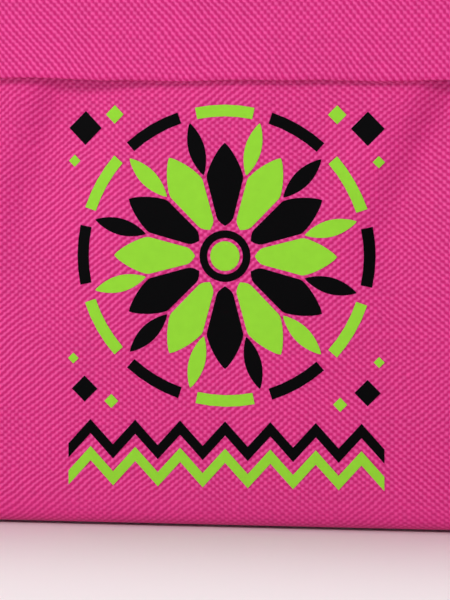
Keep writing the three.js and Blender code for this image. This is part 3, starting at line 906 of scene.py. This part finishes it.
class BELTBAG_OT_flap(bpy.types.Operator):
    """Make the upper front, whose lower edge is folded under and hides the pocket's zip"""

    bl_idname = "belt_bag.flap"
    bl_label = "Upper front and flap"

    def execute(self, context):
        bag = bag_shape()
        sheet = rolled_front(bag, bag.front, 0.0, flap_relief)
        drop = bag.fold * 1.5
        chain = cut_level(sheet, bag.flap_edge + drop, keep_above=True)
        turns = [math.pi * k / 12 for k in range(1, 13)]
        moves = [(bag.fold * (1 - math.cos(a)), -drop * math.sin(a), -bag.fold * a) for a in turns]
        under = bag.fold * math.pi
        moves += [(2 * bag.fold, 2.0 * k, -under - 2.0 * k) for k in range(1, 8)]
        continue_cloth(sheet, chain, moves)
        for v in sheet.bm.verts:
            still = smooth_step(v.co.z, bag.flap_edge + 1, bag.flap_edge + 14)
            v.co.z += flap_edge_wave(v.co.x) * (1 - still)
        sheet.piece("upper_front_cloth", "bag", ["flap_cloth"], "fabric", ["front_panel"])
        return {"FINISHED"}


class BELTBAG_OT_body(bpy.types.Operator):
    """Make the main compartment's sides, base and back, with their bound seams"""

    bl_idname = "belt_bag.body"
    bl_label = "Main compartment"

    def execute(self, context):
        bag = bag_shape()
        self.gusset(bag)
        self.back(bag)
        self.bindings(bag)
        return {"FINISHED"}

    def gusset(self, bag):
        """The sides, base and top, puckered at their seams and bowed out by the stuffing."""
        sheet = Sheet()
        span, seam, roll = bag.back - bag.wall, 1.4, 5
        stops = [(bag.wall + y, inset) for y, inset in ((0, 3.0), (0.15, 1.2), (0.6, 0.35), (seam, 0.0))]
        stops += [(bag.wall + seam + (span - seam - roll) * k / 26, 0.0) for k in range(1, 27)]
        stops += [(bag.back - roll + roll * math.sin(a), roll * (1 - math.cos(a)))
                  for a in (math.radians(d) for d in (18, 36, 54, 72, 90))]
        rows, places = [], []
        for y, inset in stops:
            share = min(1, max(0, (y - bag.wall) / span))
            row, spots, run = [], [], 0.0
            ring = outline_ring(bag, y, inset)
            for i, (point, out) in enumerate(ring):
                swell = math.sin(math.pi * share) * abs(out.x) ** 3
                wrinkle = 0.8 * ripple(run * 0.5, y * 2.0, 14, 2.2) + 0.4 * ripple(run, y, 6, 4.1)
                low = smooth_step(point.y, 0.5, 12)
                near_seam = math.exp(-min(y - bag.wall, bag.back - y) / 3.5) * min(1, share * 30)
                gather = 0.3 * ripple(run, 0, 2.4, 6.6) * near_seam * low
                pushed = point + out * (swell * (bag.bow + wrinkle * low) + gather)
                row.append(Vector((pushed.x, y, max(0.0, pushed.y))))
                spots.append((run, y))
                run += (ring[(i + 1) % len(ring)][0] - point).length
            rows.append(row)
            places.append([*spots, (run, y)])
        sheet.rows(rows, places, closed=True)
        sheet.piece("gusset_cloth_panel", "bag", ["gusset_cloth"], "fabric", ["main_compartment"])

    def back(self, bag):
        sheet = Sheet()
        ring = outline_ring(bag, bag.back, 4.6)
        middle, reach, steps = bag.top_back / 2, 70, 12
        rows, places = [], []
        for step in range(steps + 1):
            row = []
            for point, _ in ring:
                target = Vector((max(-reach, min(reach, point.x)), middle))
                spot = point.lerp(target, step / steps)
                row.append(Vector((spot.x, bag.back + 0.05, spot.y)))
            rows.append(row)
            spots = [(p.x, p.z) for p in row]
            places.append([*spots, spots[0]])
        sheet.rows(rows, places, closed=True)
        bmesh.ops.remove_doubles(sheet.bm, verts=sheet.bm.verts, dist=0.002)
        sheet.piece("back_cloth_panel", "bag", ["gusset_cloth"], "fabric")

    def bindings(self, bag):
        """The bound seam round the back, the piping round the front, and the gusset's stitches."""
        sheet = Sheet()
        path = [Vector((p.x, bag.back + 1.1, p.y)) for p, _ in outline_ring(bag, bag.back, 3.0)]
        tube(sheet, path, 1.5, sides=12, closed=True, squash=1.4, up=Vector((0, 1, 0)))
        sheet.piece("back_seam_binding", "bag", ["binding"], "webbing", ["back_binding"])
        sheet = Sheet()
        path = [Vector((p.x, bag.wall - 0.1, p.y)) for p, _ in outline_ring(bag, bag.wall, 0.95)]
        tube(sheet, path, 0.95, sides=12, closed=True, up=Vector((0, 1, 0)))
        sheet.piece("front_seam_piping", "bag", ["gusset_cloth"], "fabric")
        sheet = Sheet()
        for y in (bag.wall + 3.0, bag.back - 7.0):
            ring = outline_ring(bag, y)
            points = [Vector((p.x, y, p.y)) for p, _ in ring]
            swell = math.sin(math.pi * (y - bag.wall) / (bag.back - bag.wall)) * bag.bow
            outs = [Vector((out.x, 0, out.y)) for _, out in ring]
            points = [p + n * (swell * abs(n.x) ** 3 + 0.06) for p, n in zip(points, outs)]
            first, last = ARC_STEPS // 2, len(points) - STRAIGHT_STEPS[3] - ARC_STEPS // 2
            stitch_row(sheet, points[first:last], outs[first:last])
        sheet.piece("gusset_stitches", "bag", ["thread"], "webbing")


class BELTBAG_OT_printed_pattern(bpy.types.Operator):
    """Lay the printed rosette and borders on the front pocket"""

    bl_idname = "belt_bag.printed_pattern"
    bl_label = "Printed pattern"

    def execute(self, context):
        self.bag = bag_shape()
        self.dark, self.bright = Sheet(), Sheet()
        self.rosette(Vector((0, 50.2)))
        self.borders()
        self.dark.piece("print_dark", "bag", ["ink_dark"], "pocket_fabric")
        self.bright.piece("print_bright", "bag", ["ink_bright"], "pocket_fabric")
        return {"FINISHED"}

    def patch(self, sheet, place, steps_a, steps_b):
        """A patch of ink over a unit square, laid on the pocket's cloth."""
        rows, places = [], []
        for a in range(steps_a + 1):
            spots = [place(a / steps_a, b / steps_b) for b in range(steps_b + 1)]
            rows.append([self.on_pocket(s) for s in spots])
            places.append([tuple(s) for s in spots])
        sheet.rows(rows, places)

    def on_pocket(self, spot):
        over = max(0.0, 1 - max(0.0, self.bag.edge - spot.y) / RELIEF_FADE)
        lift = INK_LIFT + pocket_relief(*spot) * over
        return Vector((spot.x, pocket_depth(self.bag, spot.y) - lift, spot.y))

    def ring_part(self, sheet, centre, inner, outer, start, end):
        def place(a, b):
            angle = math.radians(start + (end - start) * b)
            return centre + Vector((math.sin(angle), math.cos(angle))) * (inner + (outer - inner) * a)
        self.patch(sheet, place, max(1, round((outer - inner) / 1.5)), max(2, round(abs(end - start) / 6)))

    def petal(self, sheet, centre, inner, outer, half, degrees, belly=0.9):
        """A pointed petal that keeps clear of its neighbours near the middle."""
        angle = math.radians(degrees)
        out = Vector((math.sin(angle), math.cos(angle)))
        side = Vector((out.y, -out.x))

        def place(a, b):
            away = inner + (outer - inner) * a
            reach = half * math.sin(math.pi * a ** belly) ** 0.8 if 0 < a < 1 else 0.0
            return centre + out * away + side * (min(reach, away * 0.2588 - 0.28) * (2 * b - 1))
        self.patch(sheet, place, 30, 6)

    def quad(self, sheet, corners):
        p, q, r, s = (Vector(c) for c in corners)
        self.patch(sheet, lambda a, b: p.lerp(q, a).lerp(s.lerp(r, a), b), 5, 5)

    def rosette(self, centre):
        for k in range(12):
            turn = 30 * k
            self.petal(self.dark if k % 2 == 0 else self.bright, centre, 5.5, 20.6, 3.6, turn)
            self.petal(self.bright if k % 2 == 0 else self.dark, centre, 15.2, 25.0, 1.5, turn + 15, 1.0)
            self.ring_part(self.dark if k % 2 else self.bright, centre, 25.4, 27.5, turn - 11.5, turn + 11.5)
        self.ring_part(self.bright, centre, 0.0, 2.7, 0, 360)
        self.ring_part(self.dark, centre, 3.3, 4.7, 0, 360)

    def borders(self):
        left, low, high, band, count = -29.3, 7.8, 12.4, 2.6, 14
        wide = -2 * left / count
        for k in range(count):
            x = left + wide * k
            ends = (low, high) if k % 2 == 0 else (high, low)
            for sheet, lift in ((self.bright, 0.0), (self.dark, 5.0)):
                a, b = ends[0] + lift, ends[1] + lift
                self.quad(sheet, ((x, a), (x + wide, b), (x + wide, b + band), (x, a + band)))
        for sign in (-1, 1):
            for x, z, size, sheet in ((26.2, 73.4, 3.1, self.dark), (20.6, 75.9, 1.7, self.bright),
                                      (28.2, 67.4, 1.1, self.bright), (26.2, 25.6, 2.4, self.dark),
                                      (21.2, 23.4, 1.3, self.bright), (28.3, 31.2, 1.0, self.bright)):
                x *= sign
                self.quad(sheet, ((x, z - size), (x + size, z), (x, z + size), (x - size, z)))


ZIPS = {
    "main": SimpleNamespace(half=90.0, slider=82.0, body="main_pull", tab="main_tab", tail=(
        (8.3, 0.4), (7.4, 2.6), (3.2, 9.0), (1.6, 16.0), (1.4, 34.0))),
    "pocket": SimpleNamespace(half=98.0, slider=-90.0, body="pocket_pull", tab="pocket_pull", tail=(
        (8.6, -0.4), (8.9, 2.0), (9.6, 6.5), (9.6, 36.0))),
    "back": SimpleNamespace(half=76.0, slider=-68.0, body="back_pull", tab="back_tab", tail=(
        (8.3, 0.4), (8.6, 2.6), (8.6, 34.0))),
}


def zip_place(name):
    """A call that places a spot along a zip, out of its tape and down its tab's way."""
    bag = bag_shape()
    if name == "main":
        slope = math.atan((bag.top_back - bag.top_front) / (bag.back - bag.front))
        origin = Vector((0, -2, bag.top_back - (bag.back + 2) * math.tan(slope)))
        along, out = Vector((1, 0, 0)), Vector((0, -math.sin(slope), math.cos(slope)))
    elif name == "pocket":
        origin, along, out = Vector((0, bag.wall, 90.5)), Vector((1, 0, 0)), Vector((0, -1, 0))
    else:
        origin, along, out = Vector((0, bag.back, 101)), Vector((-1, 0, 0)), Vector((0, 1, 0))
    down = along.cross(out)
    return lambda a, o, d=0.0: origin + along * a + out * o + down * d


def zip_ways(place):
    """The ways along a zip, out of its tape and down its tab."""
    return [place(*way) - place(0, 0) for way in ((1, 0), (0, 1), (0, 0, 1))]


class BELTBAG_OT_zips(bpy.types.Operator):
    """Make the three coil zips with their sliders and ribbon tabs"""

    bl_idname = "belt_bag.zips"
    bl_label = "Zips"

    def execute(self, context):
        for name, spec in ZIPS.items():
            place = zip_place(name)
            self.tape(name, spec, place)
            self.coil(name, spec, place)
            self.slider(name, spec, place)
            self.tab(name, spec, place)
        return {"FINISHED"}

    def tape(self, name, spec, place):
        """The zip's woven tape, the tabs over both its ends, and the stitches that hold it."""
        sheet = Sheet()
        section = mirrored((
            (6.5, 0.25), (6.5, 0.75), (6.1, 1.0), (5.6, 0.72), (2.6, 0.75), (1.6, 1.0), (0.25, 0.9)))
        along = [-spec.half + 2 * spec.half * k / 60 for k in range(61)]
        rows = [[place(a, o, d) for d, o in section] for a in along]
        places = [[(a, d) for d, _ in section] for a in along]
        sheet.rows(rows, places)
        sheet.piece(f"{name}_zip_tape", "bag", ["tape_weave"], "zip_tape", [f"{name}_zip"])
        sheet = Sheet()
        for end in (-1, 1):
            a = end * (spec.half + 1.0)
            outer = mirrored(((7.2, 0.3), (7.0, 1.5), (2.8, 1.9)), (0, 2.9))
            spans = (-3.2, -2.6, 2.6, 3.2)
            rows = [[place(a + s, o if abs(s) < 3 else 0.3, d) for d, o in outer] for s in spans]
            sheet.rows(rows, [[(s, d) for d, _ in outer] for s in spans])
        sheet.piece(f"{name}_zip_end_tabs", "bag", ["binding"], "webbing")
        sheet = Sheet()
        sewn = spec.half - 5
        for d in (-4.7, 4.7):
            path = [place(-sewn + 2 * sewn * k / 40, 0.8, d) for k in range(41)]
            stitch_row(sheet, path, [zip_ways(place)[1]] * len(path))
        sheet.piece(f"{name}_zip_stitches", "bag", ["thread"], "webbing")

    def coil(self, name, spec, place):
        """Alternate rounded teeth, each lying across the tape and a little over its neighbour."""
        sheet = Sheet()
        along, out, _ = zip_ways(place)
        pitch, margin, slant = 1.3, 4, 0.16
        stops = ((-1.9, 1.0, 0.25), (-1.5, 1.5, 0.5), (-0.4, 1.75, 0.56), (0.9, 1.7, 0.56), (1.35, 1.4, 0.42))
        ring = [math.tau * m / 6 for m in range(6)]
        places = [[(0, 0)] * 7] * len(stops)
        for k in range(int((2 * spec.half - 2 * margin) / pitch)):
            a = -spec.half + margin + pitch * k
            side = 1 if k % 2 else -1
            rows = []
            for d, o, radius in stops:
                point = place(a + slant * side * d, o, -side * d)
                rows.append([point + along * math.cos(t) * radius + out * math.sin(t) * radius for t in ring])
            made = sheet.rows(rows, places, closed=True)
            sheet.face(made[-1], places[-1][:6])
        sheet.piece(f"{name}_zip_coil", "bag", ["zip_coil"], "zip_tape")

    def slider(self, name, spec, place):
        """A plated slider: its upper plate, its cheeks and the bar for the tab."""
        sheet = Sheet()
        x, half_long, half_wide = spec.slider, 5, 3.4
        _, out, down = zip_ways(place)
        outline = [(-half_long, 1.9), (-4.4, 2.6), (-1.7, 3.3), (4.2, half_wide), (half_long, 2.7)]
        outline += [(a, -d) for a, d in reversed(outline)]
        layers = ((0.35, 3.0), (0.0, 3.15), (0.0, 3.9), (0.25, 4.2), (0.6, 4.25))
        rows = []
        for shrink, stand in layers:
            rows.append([place(x + a * (1 - shrink / half_long), stand, d * (1 - shrink / half_wide))
                         for a, d in outline])
        flat = [[(0, 0)] * (len(outline) + 1)] * len(layers)
        sheet.ends(sheet.rows(rows, flat, closed=True), flat)
        for side in (-1, 1):
            cheek = [place(x + a, 2.1, side * 3.0) for a in (-3.6, -1.5, 1.5, 4.2)]
            tube(sheet, cheek, 0.95, squash=0.55, up=Vector((1, 0, 0)).cross(out))
        bridge = mirrored(((4.0, 3.9), (3.95, 5.6), (3.5, 6.7), (2.6, 7.0)), (0, 7.05))
        tube(sheet, [place(x + a, o) for a, o in bridge], 0.62, up=down)
        sheet.piece(f"{name}_zip_slider", spec.body, ["slider_metal"], "slider", [f"{name}_slider"])

    def tab(self, name, spec, place):
        """A ribbon folded round the slider's bar, with both layers sewn together below it."""
        half, thick, apart, bend = 2.5, 0.42, 0.24, 1.45
        bar = Vector((7.0, 0.0))
        centre = smooth_places(spec.tail, 6)
        layers = [[], []]
        for i, p in enumerate(centre):
            ahead = ahead_at(centre, i)
            for layer, sign in zip(layers, (1, -1)):
                layer.append(p + Vector((ahead.y, -ahead.x)) * (apart * sign))
        start, end = (layer[0] - bar for layer in layers)
        first = math.atan2(start.y, start.x)
        turn = (math.atan2(end.y, end.x) - first) % math.tau
        if turn < math.pi:
            turn -= math.tau
        turns = [first + turn * k / 14 for k in range(1, 14)]
        loop = [bar + Vector((math.cos(a), math.sin(a))) * bend for a in turns]
        path = [place(spec.slider, *p) for p in (*reversed(layers[0]), *loop, *layers[1])]
        sheet = Sheet()
        strip(sheet, path, zip_ways(place)[0], flat_section(((half, 1), (half - 0.3, 1.15)), -thick / 2))
        sheet.piece(f"{name}_zip_tab", spec.tab, ["binding"], "webbing", [f"{name}_ribbon"])


class BELTBAG_OT_back_pad(bpy.types.Operator):
    """Make the padded mesh panel on the wearer's side"""

    bl_idname = "belt_bag.back_pad"
    bl_label = "Back pad"

    def rim(self, x, z, half, low, high, radius):
        """Distance of a place on the pad from its edge, which is round at the lower corners."""
        across, down = abs(x) - half + radius, low + radius - z
        if across > 0 and down > 0:
            return radius - math.hypot(across, down)
        return min(half - abs(x), z - low, high - z)

    def execute(self, context):
        low, high = (v * 1000 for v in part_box("back_pad"))
        half, radius, channel_at = high.x, 17.0, 28
        columns, levels = 84, 40
        sheet = Sheet()

        def place(a, b, side):
            x = -half + 2 * half * a
            z = low.z + (high.z - low.z) * b
            for cx in (-half + radius, half - radius):
                corner = Vector((cx, low.z + radius))
                if (x - cx) * cx > 0 and z < corner.y:
                    away = Vector((x, z)) - corner
                    reach = max(abs(away.x), abs(away.y))
                    away = away.normalized() * reach
                    x, z = corner + away
            if not side:
                return Vector((x, low.y, z))
            crown = min(1.0, max(0.0, self.rim(x, z, half, low.z, high.z, radius) / 6)) ** 0.5
            channel = sum(math.exp(-((x - c) / 1.7) ** 2) for c in (-channel_at, channel_at))
            stand = 1.4 + 3.6 * crown - 2.1 * channel * crown + 0.12 * ripple(x, z, 9, 7.7)
            return Vector((x, low.y + stand, z))

        def held(at):
            near_rim = self.rim(at.x, at.z, half, low.z, high.z, radius) < 3.6
            return near_rim or at.y < low.y + 1.2 or abs(abs(at.x) - channel_at) < 1.1

        for side in (1, 0):
            rows = [[place(a / columns, b / levels, side) for a in range(columns + 1)]
                    for b in range(levels + 1)]
            sheet.rows(rows, [[(p.x, p.z) for p in row] for row in rows])
        close_rim(sheet)
        pad = sheet.piece("back_mesh_pad", "bag", ["back_mesh"], "mesh", ["back_pad"])
        puff_up(pad, held, 4.5, 1.4)
        sheet = Sheet()
        seam, inner, upper = [], 3.0, 7
        corners = (
            (half - radius, low.z + radius, radius, -90), (half - upper, high.z - upper, upper, 0),
            (upper - half, high.z - upper, upper, 90), (radius - half, low.z + radius, radius, 180))
        for x, z, turn, start in corners:
            seam += [Vector((a, low.y + 4.2, b)) for a, b in corner_arc(x, z, turn - inner, start, 8)]
        seam.append(seam[0])
        stitch_row(sheet, seam, [Vector((0, 1, 0))] * len(seam))
        sheet.piece("back_pad_stitches", "bag", ["thread"], "webbing")
        return {"FINISHED"}


class Belt:
    """The closed belt's course: a sloping plane, a centre line in it, and places given along and off it."""

    def __init__(self):
        self.tip, self.tip_z = Vector((MAIN_HIGH.x * 1000 + 64.0, 67.0)), 78.0
        self.slope = math.radians(19.8)
        self.across = Vector((0, math.sin(self.slope), math.cos(self.slope)))
        self.width, self.thick = 30.0, 1.6
        rear, straight, steps = 228.0, 31.0, 400
        curve = [self.tip, self.tip + Vector((44, 62)), Vector((138, rear)), Vector((straight, rear))]
        right = []
        for t in (k / steps for k in range(steps + 1)):
            weights = (1 - t) ** 3, 3 * t * (1 - t) ** 2, 3 * t * t * (1 - t), t ** 3
            right.append(sum((c * w for c, w in zip(curve, weights)), Vector((0, 0))))
        flat = [Vector((-p.x, p.y)) for p in right] + right[::-1]
        self.points = [self.lift(p) for p in flat]
        self.lengths = [0.0]
        for a, b in zip(self.points, self.points[1:]):
            self.lengths.append(self.lengths[-1] + (b - a).length)
        self.length = self.lengths[-1]

    def lift(self, spot):
        """The place on the belt's sloping plane above a spot on the floor."""
        return Vector((spot.x, spot.y, self.tip_z - (spot.y - self.tip.y) * math.tan(self.slope)))

    def at(self, distance):
        """The point at a distance, and the way along there."""
        low, high = 0, len(self.lengths) - 1
        while high - low > 1:
            middle = (low + high) // 2
            if self.lengths[middle] <= distance:
                low = middle
            else:
                high = middle
        share = (distance - self.lengths[low]) / (self.lengths[high] - self.lengths[low])
        ahead = self.points[min(high + 1, len(self.points) - 1)] - self.points[max(low - 1, 0)]
        return self.points[low].lerp(self.points[high], share), ahead.normalized()

    def place(self, distance, offset=0.0, over=0.0):
        """A place along the belt, outwards of its centre line and across its width."""
        point, ahead = self.at(distance)
        return point + self.across.cross(ahead) * offset + self.across * over


def webbing_strip(sheet, belt, places):
    """Flat webbing with rounded edges through a row of places along the belt."""
    half = belt.width / 2
    edge = ((half, 0.35), (half - 0.25, 0.85), (half - 1, 1))
    strip(sheet, [belt.place(*p) for p in places], belt.across, flat_section(edge, belt.thick / 2))


def bar_fold(start, sign):
    """Places of the fold round a buckle's bar, from the outer side round to the inner one."""
    wide, half, bend = 2.8, 1.8, 1.15
    high = half + bend
    near = [(-12, 0), (-7, 0.9), (-2, high), (wide / 2, high)]
    turn = [(wide + bend * math.cos(a), half + bend * math.sin(a))
            for a in (math.radians(d) for d in (67, 45, 22, 0))]
    far = [(d, -n) for d, n in reversed(turn)]
    back = [(wide / 2, -high), (-2, -high), (-7, -2.3), (-12, -1.9)]
    return [(start + sign * d, n) for d, n in (*near, *turn, *far, *back)]


class BELTBAG_OT_belt(bpy.types.Operator):
    """Make the two halves of the webbing belt, with their folds, box stitching and keeper"""

    bl_idname = "belt_bag.belt"
    bl_label = "Belt"

    def execute(self, context):
        belt = Belt()
        buckle_half, in_wing, spare = 30.15, 7.0, 96.0
        start = belt.length / 2 - buckle_half
        end = belt.length / 2 + buckle_half
        layer = belt.thick + 0.3
        sheet = Sheet()
        course = [(d, 0.0) for d in self.even(-in_wing, start - 16, 40)]
        fold = [(start - 14, 0.0), *bar_fold(start, 1), (start - 22, -layer), (start - 32, -layer)]
        webbing_strip(sheet, belt, [*course, *smooth_places(fold, 3)])
        sheet.piece("belt_webbing_left", "bag", ["belt_webbing"], "webbing", ["belt_left"])

        sheet = Sheet()
        course = [(d, 0.0) for d in self.even(belt.length + in_wing, end + 14, 44)]
        high = 2.95
        round_bar = bar_fold(end - 12 + 2.8, -1)[3:-3][::-1]
        into = [(end + 12, 0), (end + 7, -0.9), (end + 2, -high), (end - 3, -high)]
        out_of = [(end - 3, high), (end + 2, high), (end + 7, high - 0.4)]
        spare_end = end + 14 + spare
        folded = smooth_places([*into, *round_bar, *out_of, (end + 14, layer)], 3)
        loose = [(d, layer) for d in self.even(end + 16, spare_end, 20)]
        webbing_strip(sheet, belt, [*course, *folded, *loose])
        sheet.piece("belt_webbing_right", "bag", ["belt_webbing"], "webbing", ["belt_right"])

        sheet = Sheet()
        self.box_stitch(sheet, belt, start - 30, start - 14, 0.0)
        self.hem_stitch(sheet, belt, spare_end - 5, layer)
        self.hem_stitch(sheet, belt, spare_end - 2.5, layer)
        sheet.piece("belt_stitches", "bag", ["thread"], "webbing")
        self.keeper(belt, spare_end - 22)
        return {"FINISHED"}

    def even(self, first, last, steps):
        return [first + (last - first) * k / steps for k in range(steps + 1)]

    def on_face(self, belt, distance, offset, over):
        lift = belt.thick / 2 + 0.04
        return belt.place(distance, offset + lift, over)

    def box_stitch(self, sheet, belt, first, last, offset):
        """A stitched box with a cross in it."""
        half = belt.width / 2 - 3
        corners = [(first, -half), (last, -half), (last, half), (first, half), (first, -half), (last, half)]
        lines = list(zip(corners, corners[1:])) + [((first, half), (last, -half))]
        for (d0, w0), (d1, w1) in lines:
            path = [self.on_face(belt, d, offset, w)
                    for d, w in zip(self.even(d0, d1, 8), self.even(w0, w1, 8))]
            _, ahead = belt.at((first + last) / 2)
            stitch_row(sheet, path, [belt.across.cross(ahead)] * len(path), 2.3, 0.7, 0.3)

    def hem_stitch(self, sheet, belt, distance, offset):
        """A line of stitches across the webbing."""
        half = belt.width / 2 - 1.5
        _, ahead = belt.at(distance)
        path = [self.on_face(belt, distance, offset, w) for w in self.even(-half, half, 8)]
        stitch_row(sheet, path, [belt.across.cross(ahead)] * len(path), 2.3, 0.7, 0.3)

    def keeper(self, belt, distance):
        """An elastic band round the belt and its spare end."""
        sheet, radius = Sheet(), 1.2
        half, high, low = belt.width / 2 + 0.2, 3.6, -1.4
        corners = ((half, high), (-half, high), (-half, low), (half, low))
        section = []
        for k, corner in enumerate(corners):
            section += corner_arc(*corner, radius, 90 * k, 4)
        middle = Vector((0, (high + low) / 2))
        edge = ((4, 0.9), (4.15, 0.3), (3.9, 0), (2, -0.1))
        rows, places = [], []
        for shift, shrink in mirrored(edge, (0, 0)):
            row, spots, run = [], [], 0.0
            for i, (w, n) in enumerate(section):
                spot = Vector((w, n))
                pulled = spot - (spot - middle).normalized() * shrink
                row.append(belt.place(distance + shift, pulled.y, pulled.x))
                spots.append((shift, run))
                run += (Vector(section[(i + 1) % len(section)]) - spot).length
            rows.append(row)
            places.append([*spots, (shift, run)])
        sheet.rows(rows, places, closed=True)
        sheet.piece("belt_keeper_band", "bag", ["binding"], "webbing", ["belt_keeper"])


WING_ROOT, WING_REACH = Vector((118.3, 31.0, 67.0)), 63.7


class BELTBAG_OT_wings(bpy.types.Operator):
    """Make the padded wings between the bag and the belt"""

    bl_idname = "belt_bag.wings"
    bl_label = "Wings"

    def execute(self, context):
        belt = Belt()
        for name, sign in (("left", -1), ("right", 1)):
            self.wing(belt, name, sign)
        return {"FINISHED"}

    def station(self, belt, sign, u):
        """Middle, upright and outward directions and half-sizes of the wing at a share of its length."""
        x, y, z = WING_ROOT
        sweep, power = 36, 1.7
        middle = Vector((sign * (x + WING_REACH * u), y + sweep * u ** power, z + (belt.tip_z - z) * u))
        half = 35.0 + (16.5 - 35.0) * u ** 0.8
        up = Vector((0, 0, 1)).lerp(belt.across, u).normalized()
        along = Vector((sign * 64.0, sweep * power * u ** (power - 1) if u else 0.0, 0)).normalized()
        out = along.cross(up).normalized() * sign
        return middle, up, out, half, (5.0 + (3.6 - 5.0) * u) / 2

    def crown(self, w):
        """How full the wing is at a share of its half-width, as a share of its half-thickness."""
        return 0.35 + 0.6 * max(0.0, 1 - abs(w) ** 3) ** 0.5

    def wing(self, belt, name, sign):
        sheet, steps, sides = Sheet(), 32, 30
        faces = {1: [], -1: []}
        spots = []
        for k in range(steps + 1):
            u = k / steps
            middle, up, out, half, thick = self.station(belt, sign, u)
            quilt = 1 - 0.5 * math.exp(-((u - 0.93) / 0.05) ** 2)
            over = [2 * j / sides - 1 for j in range(sides + 1)]
            for face, rows in faces.items():
                rows.append([middle + up * (w * half) + out * (face * thick * self.crown(w) * quilt)
                             for w in over])
            spots.append([(u * 64, half * w) for w in over])
        sheet.rows(faces[1], spots, slot=0)
        sheet.rows(faces[-1], spots, slot=1)
        close_rim(sheet)
        for face in sheet.bm.faces:
            face.smooth = True
        cloths = ["gusset_cloth", "back_mesh"]
        pad = sheet.piece(f"wing_pad_{name}", "bag", cloths, "fabric", [f"wing_{name}"])

        def held(at):
            u = (abs(at.x) - WING_ROOT.x) / WING_REACH
            middle, up, _, half, _ = self.station(belt, sign, max(0.0, min(1.0, u)))
            return not 0.05 < u < 0.86 or half - abs((at - middle).dot(up)) < 4.6

        puff_up(pad, held, 4.5, 0.7)

        sheet = Sheet()
        for edge in (-1, 1):
            path = []
            for k in range(steps + 1):
                middle, up, _, half, _ = self.station(belt, sign, k / steps)
                path.append(middle + up * (edge * half))
            tube(sheet, path, 1.9, sides=10, squash=0.95, up=Vector((0, 1, 0)))
        sheet.piece(f"wing_binding_{name}", "bag", ["binding"], "webbing")

        sheet = Sheet()
        for edge in (-1, 1):
            path, normals = [], []
            for k in range(1, steps):
                middle, up, out, half, thick = self.station(belt, sign, k / steps)
                w = 1 - 3.6 / half
                path.append(middle + up * (edge * w * half) + out * (thick * self.crown(w)))
                normals.append(out)
            stitch_row(sheet, path, normals)
        sheet.piece(f"wing_stitches_{name}", "bag", ["thread"], "webbing")


class BELTBAG_OT_buckle(bpy.types.Operator):
    """Give the side-release buckle its rounded edges, grip ribs and moulded finish"""

    bl_idname = "belt_bag.buckle"
    bl_label = "Buckle"

    def execute(self, context):
        for node in ("buckle_female", "buckle_male"):
            self.rounded(node)
        self.grips()
        return {"FINISHED"}

    def grips(self):
        """Raised ridges on both faces of the buckle, for the fingers."""
        belt, sheet = Belt(), Sheet()
        middle = belt.length / 2
        rows = ((middle - 10.5, 4.75, 8.0), (middle - 7.5, 4.75, 9.0), (middle - 4.5, 4.75, 10.0),
                (middle + 9.6, 3.5, 9.0), (middle + 12.2, 3.5, 9.0))
        sunk = {-6: 0.5, 6: 0.5}  # how far a ridge's ends go into the face
        for side in (-1, 1):
            for distance, thick, reach in rows:
                path = [belt.place(distance, side * (thick + 0.05 - sunk.get(k, 0)), reach * k / 6)
                        for k in range(-6, 7)]
                tube(sheet, path, 0.62, sides=10, up=Vector((0, 1, 0)))
        sheet.piece("buckle_grip_ridges", "bag", ["buckle_plastic"], "plastic")

    def rounded(self, node):
        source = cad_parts[node]
        bm = bmesh.new()
        bm.from_mesh(source.data)
        bmesh.ops.dissolve_limit(bm, angle_limit=math.radians(2), verts=bm.verts, edges=bm.edges)
        sharp = [e for e in bm.edges if len(e.link_faces) == 2 and e.calc_face_angle(0) > math.radians(25)]
        bmesh.ops.bevel(
            bm, geom=sharp, offset=0.00042, segments=3, profile=0.5, affect="EDGES", clamp_overlap=True)
        for face in bm.faces:
            face.smooth = True
        bmesh.ops.triangulate(bm, faces=[f for f in bm.faces if len(f.verts) > 4])
        mesh = bpy.data.meshes.new(f"{node}_moulding")
        bm.to_mesh(mesh)
        bm.free()
        mesh.materials.append(finish_of("buckle_plastic"))
        made = bpy.data.objects.new(f"{node}_moulding", mesh)
        bpy.context.scene.collection.objects.link(made)
        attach(made, "bag")
        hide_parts(node)


class BELTBAG_PT_panel(bpy.types.Panel):
    """Lists the belt bag's settings and steps"""

    bl_idname = "BELTBAG_PT_panel"
    bl_label = "Belt bag"
    bl_space_type = "VIEW_3D"
    bl_region_type = "UI"
    bl_category = "Belt bag"

    def draw(self, context):
        scene = context.scene
        for group in (scene.belt_bag_sizes, scene.belt_bag_cloth, scene.belt_bag_stage):
            box = self.layout.box()
            for key in group.__annotations__:
                box.prop(group, key)
        for step in STEPS:
            self.layout.operator(step.bl_idname)


SETTINGS = {"belt_bag_sizes": BagSizes, "belt_bag_cloth": ClothLooks, "belt_bag_stage": StageLooks}
STEPS = (
    BELTBAG_OT_stage, BELTBAG_OT_front_pocket, BELTBAG_OT_flap, BELTBAG_OT_body, BELTBAG_OT_printed_pattern,
    BELTBAG_OT_zips, BELTBAG_OT_back_pad, BELTBAG_OT_wings, BELTBAG_OT_belt, BELTBAG_OT_buckle)


def register():
    for kind in (*SETTINGS.values(), *STEPS, BELTBAG_PT_panel):
        bpy.utils.register_class(kind)
    for name, group in SETTINGS.items():
        setattr(bpy.types.Scene, name, bpy.props.PointerProperty(type=group))


def unregister():
    for name in SETTINGS:
        delattr(bpy.types.Scene, name)
    for kind in (BELTBAG_PT_panel, *reversed(STEPS), *reversed(SETTINGS.values())):
        bpy.utils.unregister_class(kind)


def main():
    register()
    for step in STEPS:
        getattr(bpy.ops.belt_bag, step.bl_idname.split(".")[1])()


if __name__ == "__main__":
    main()
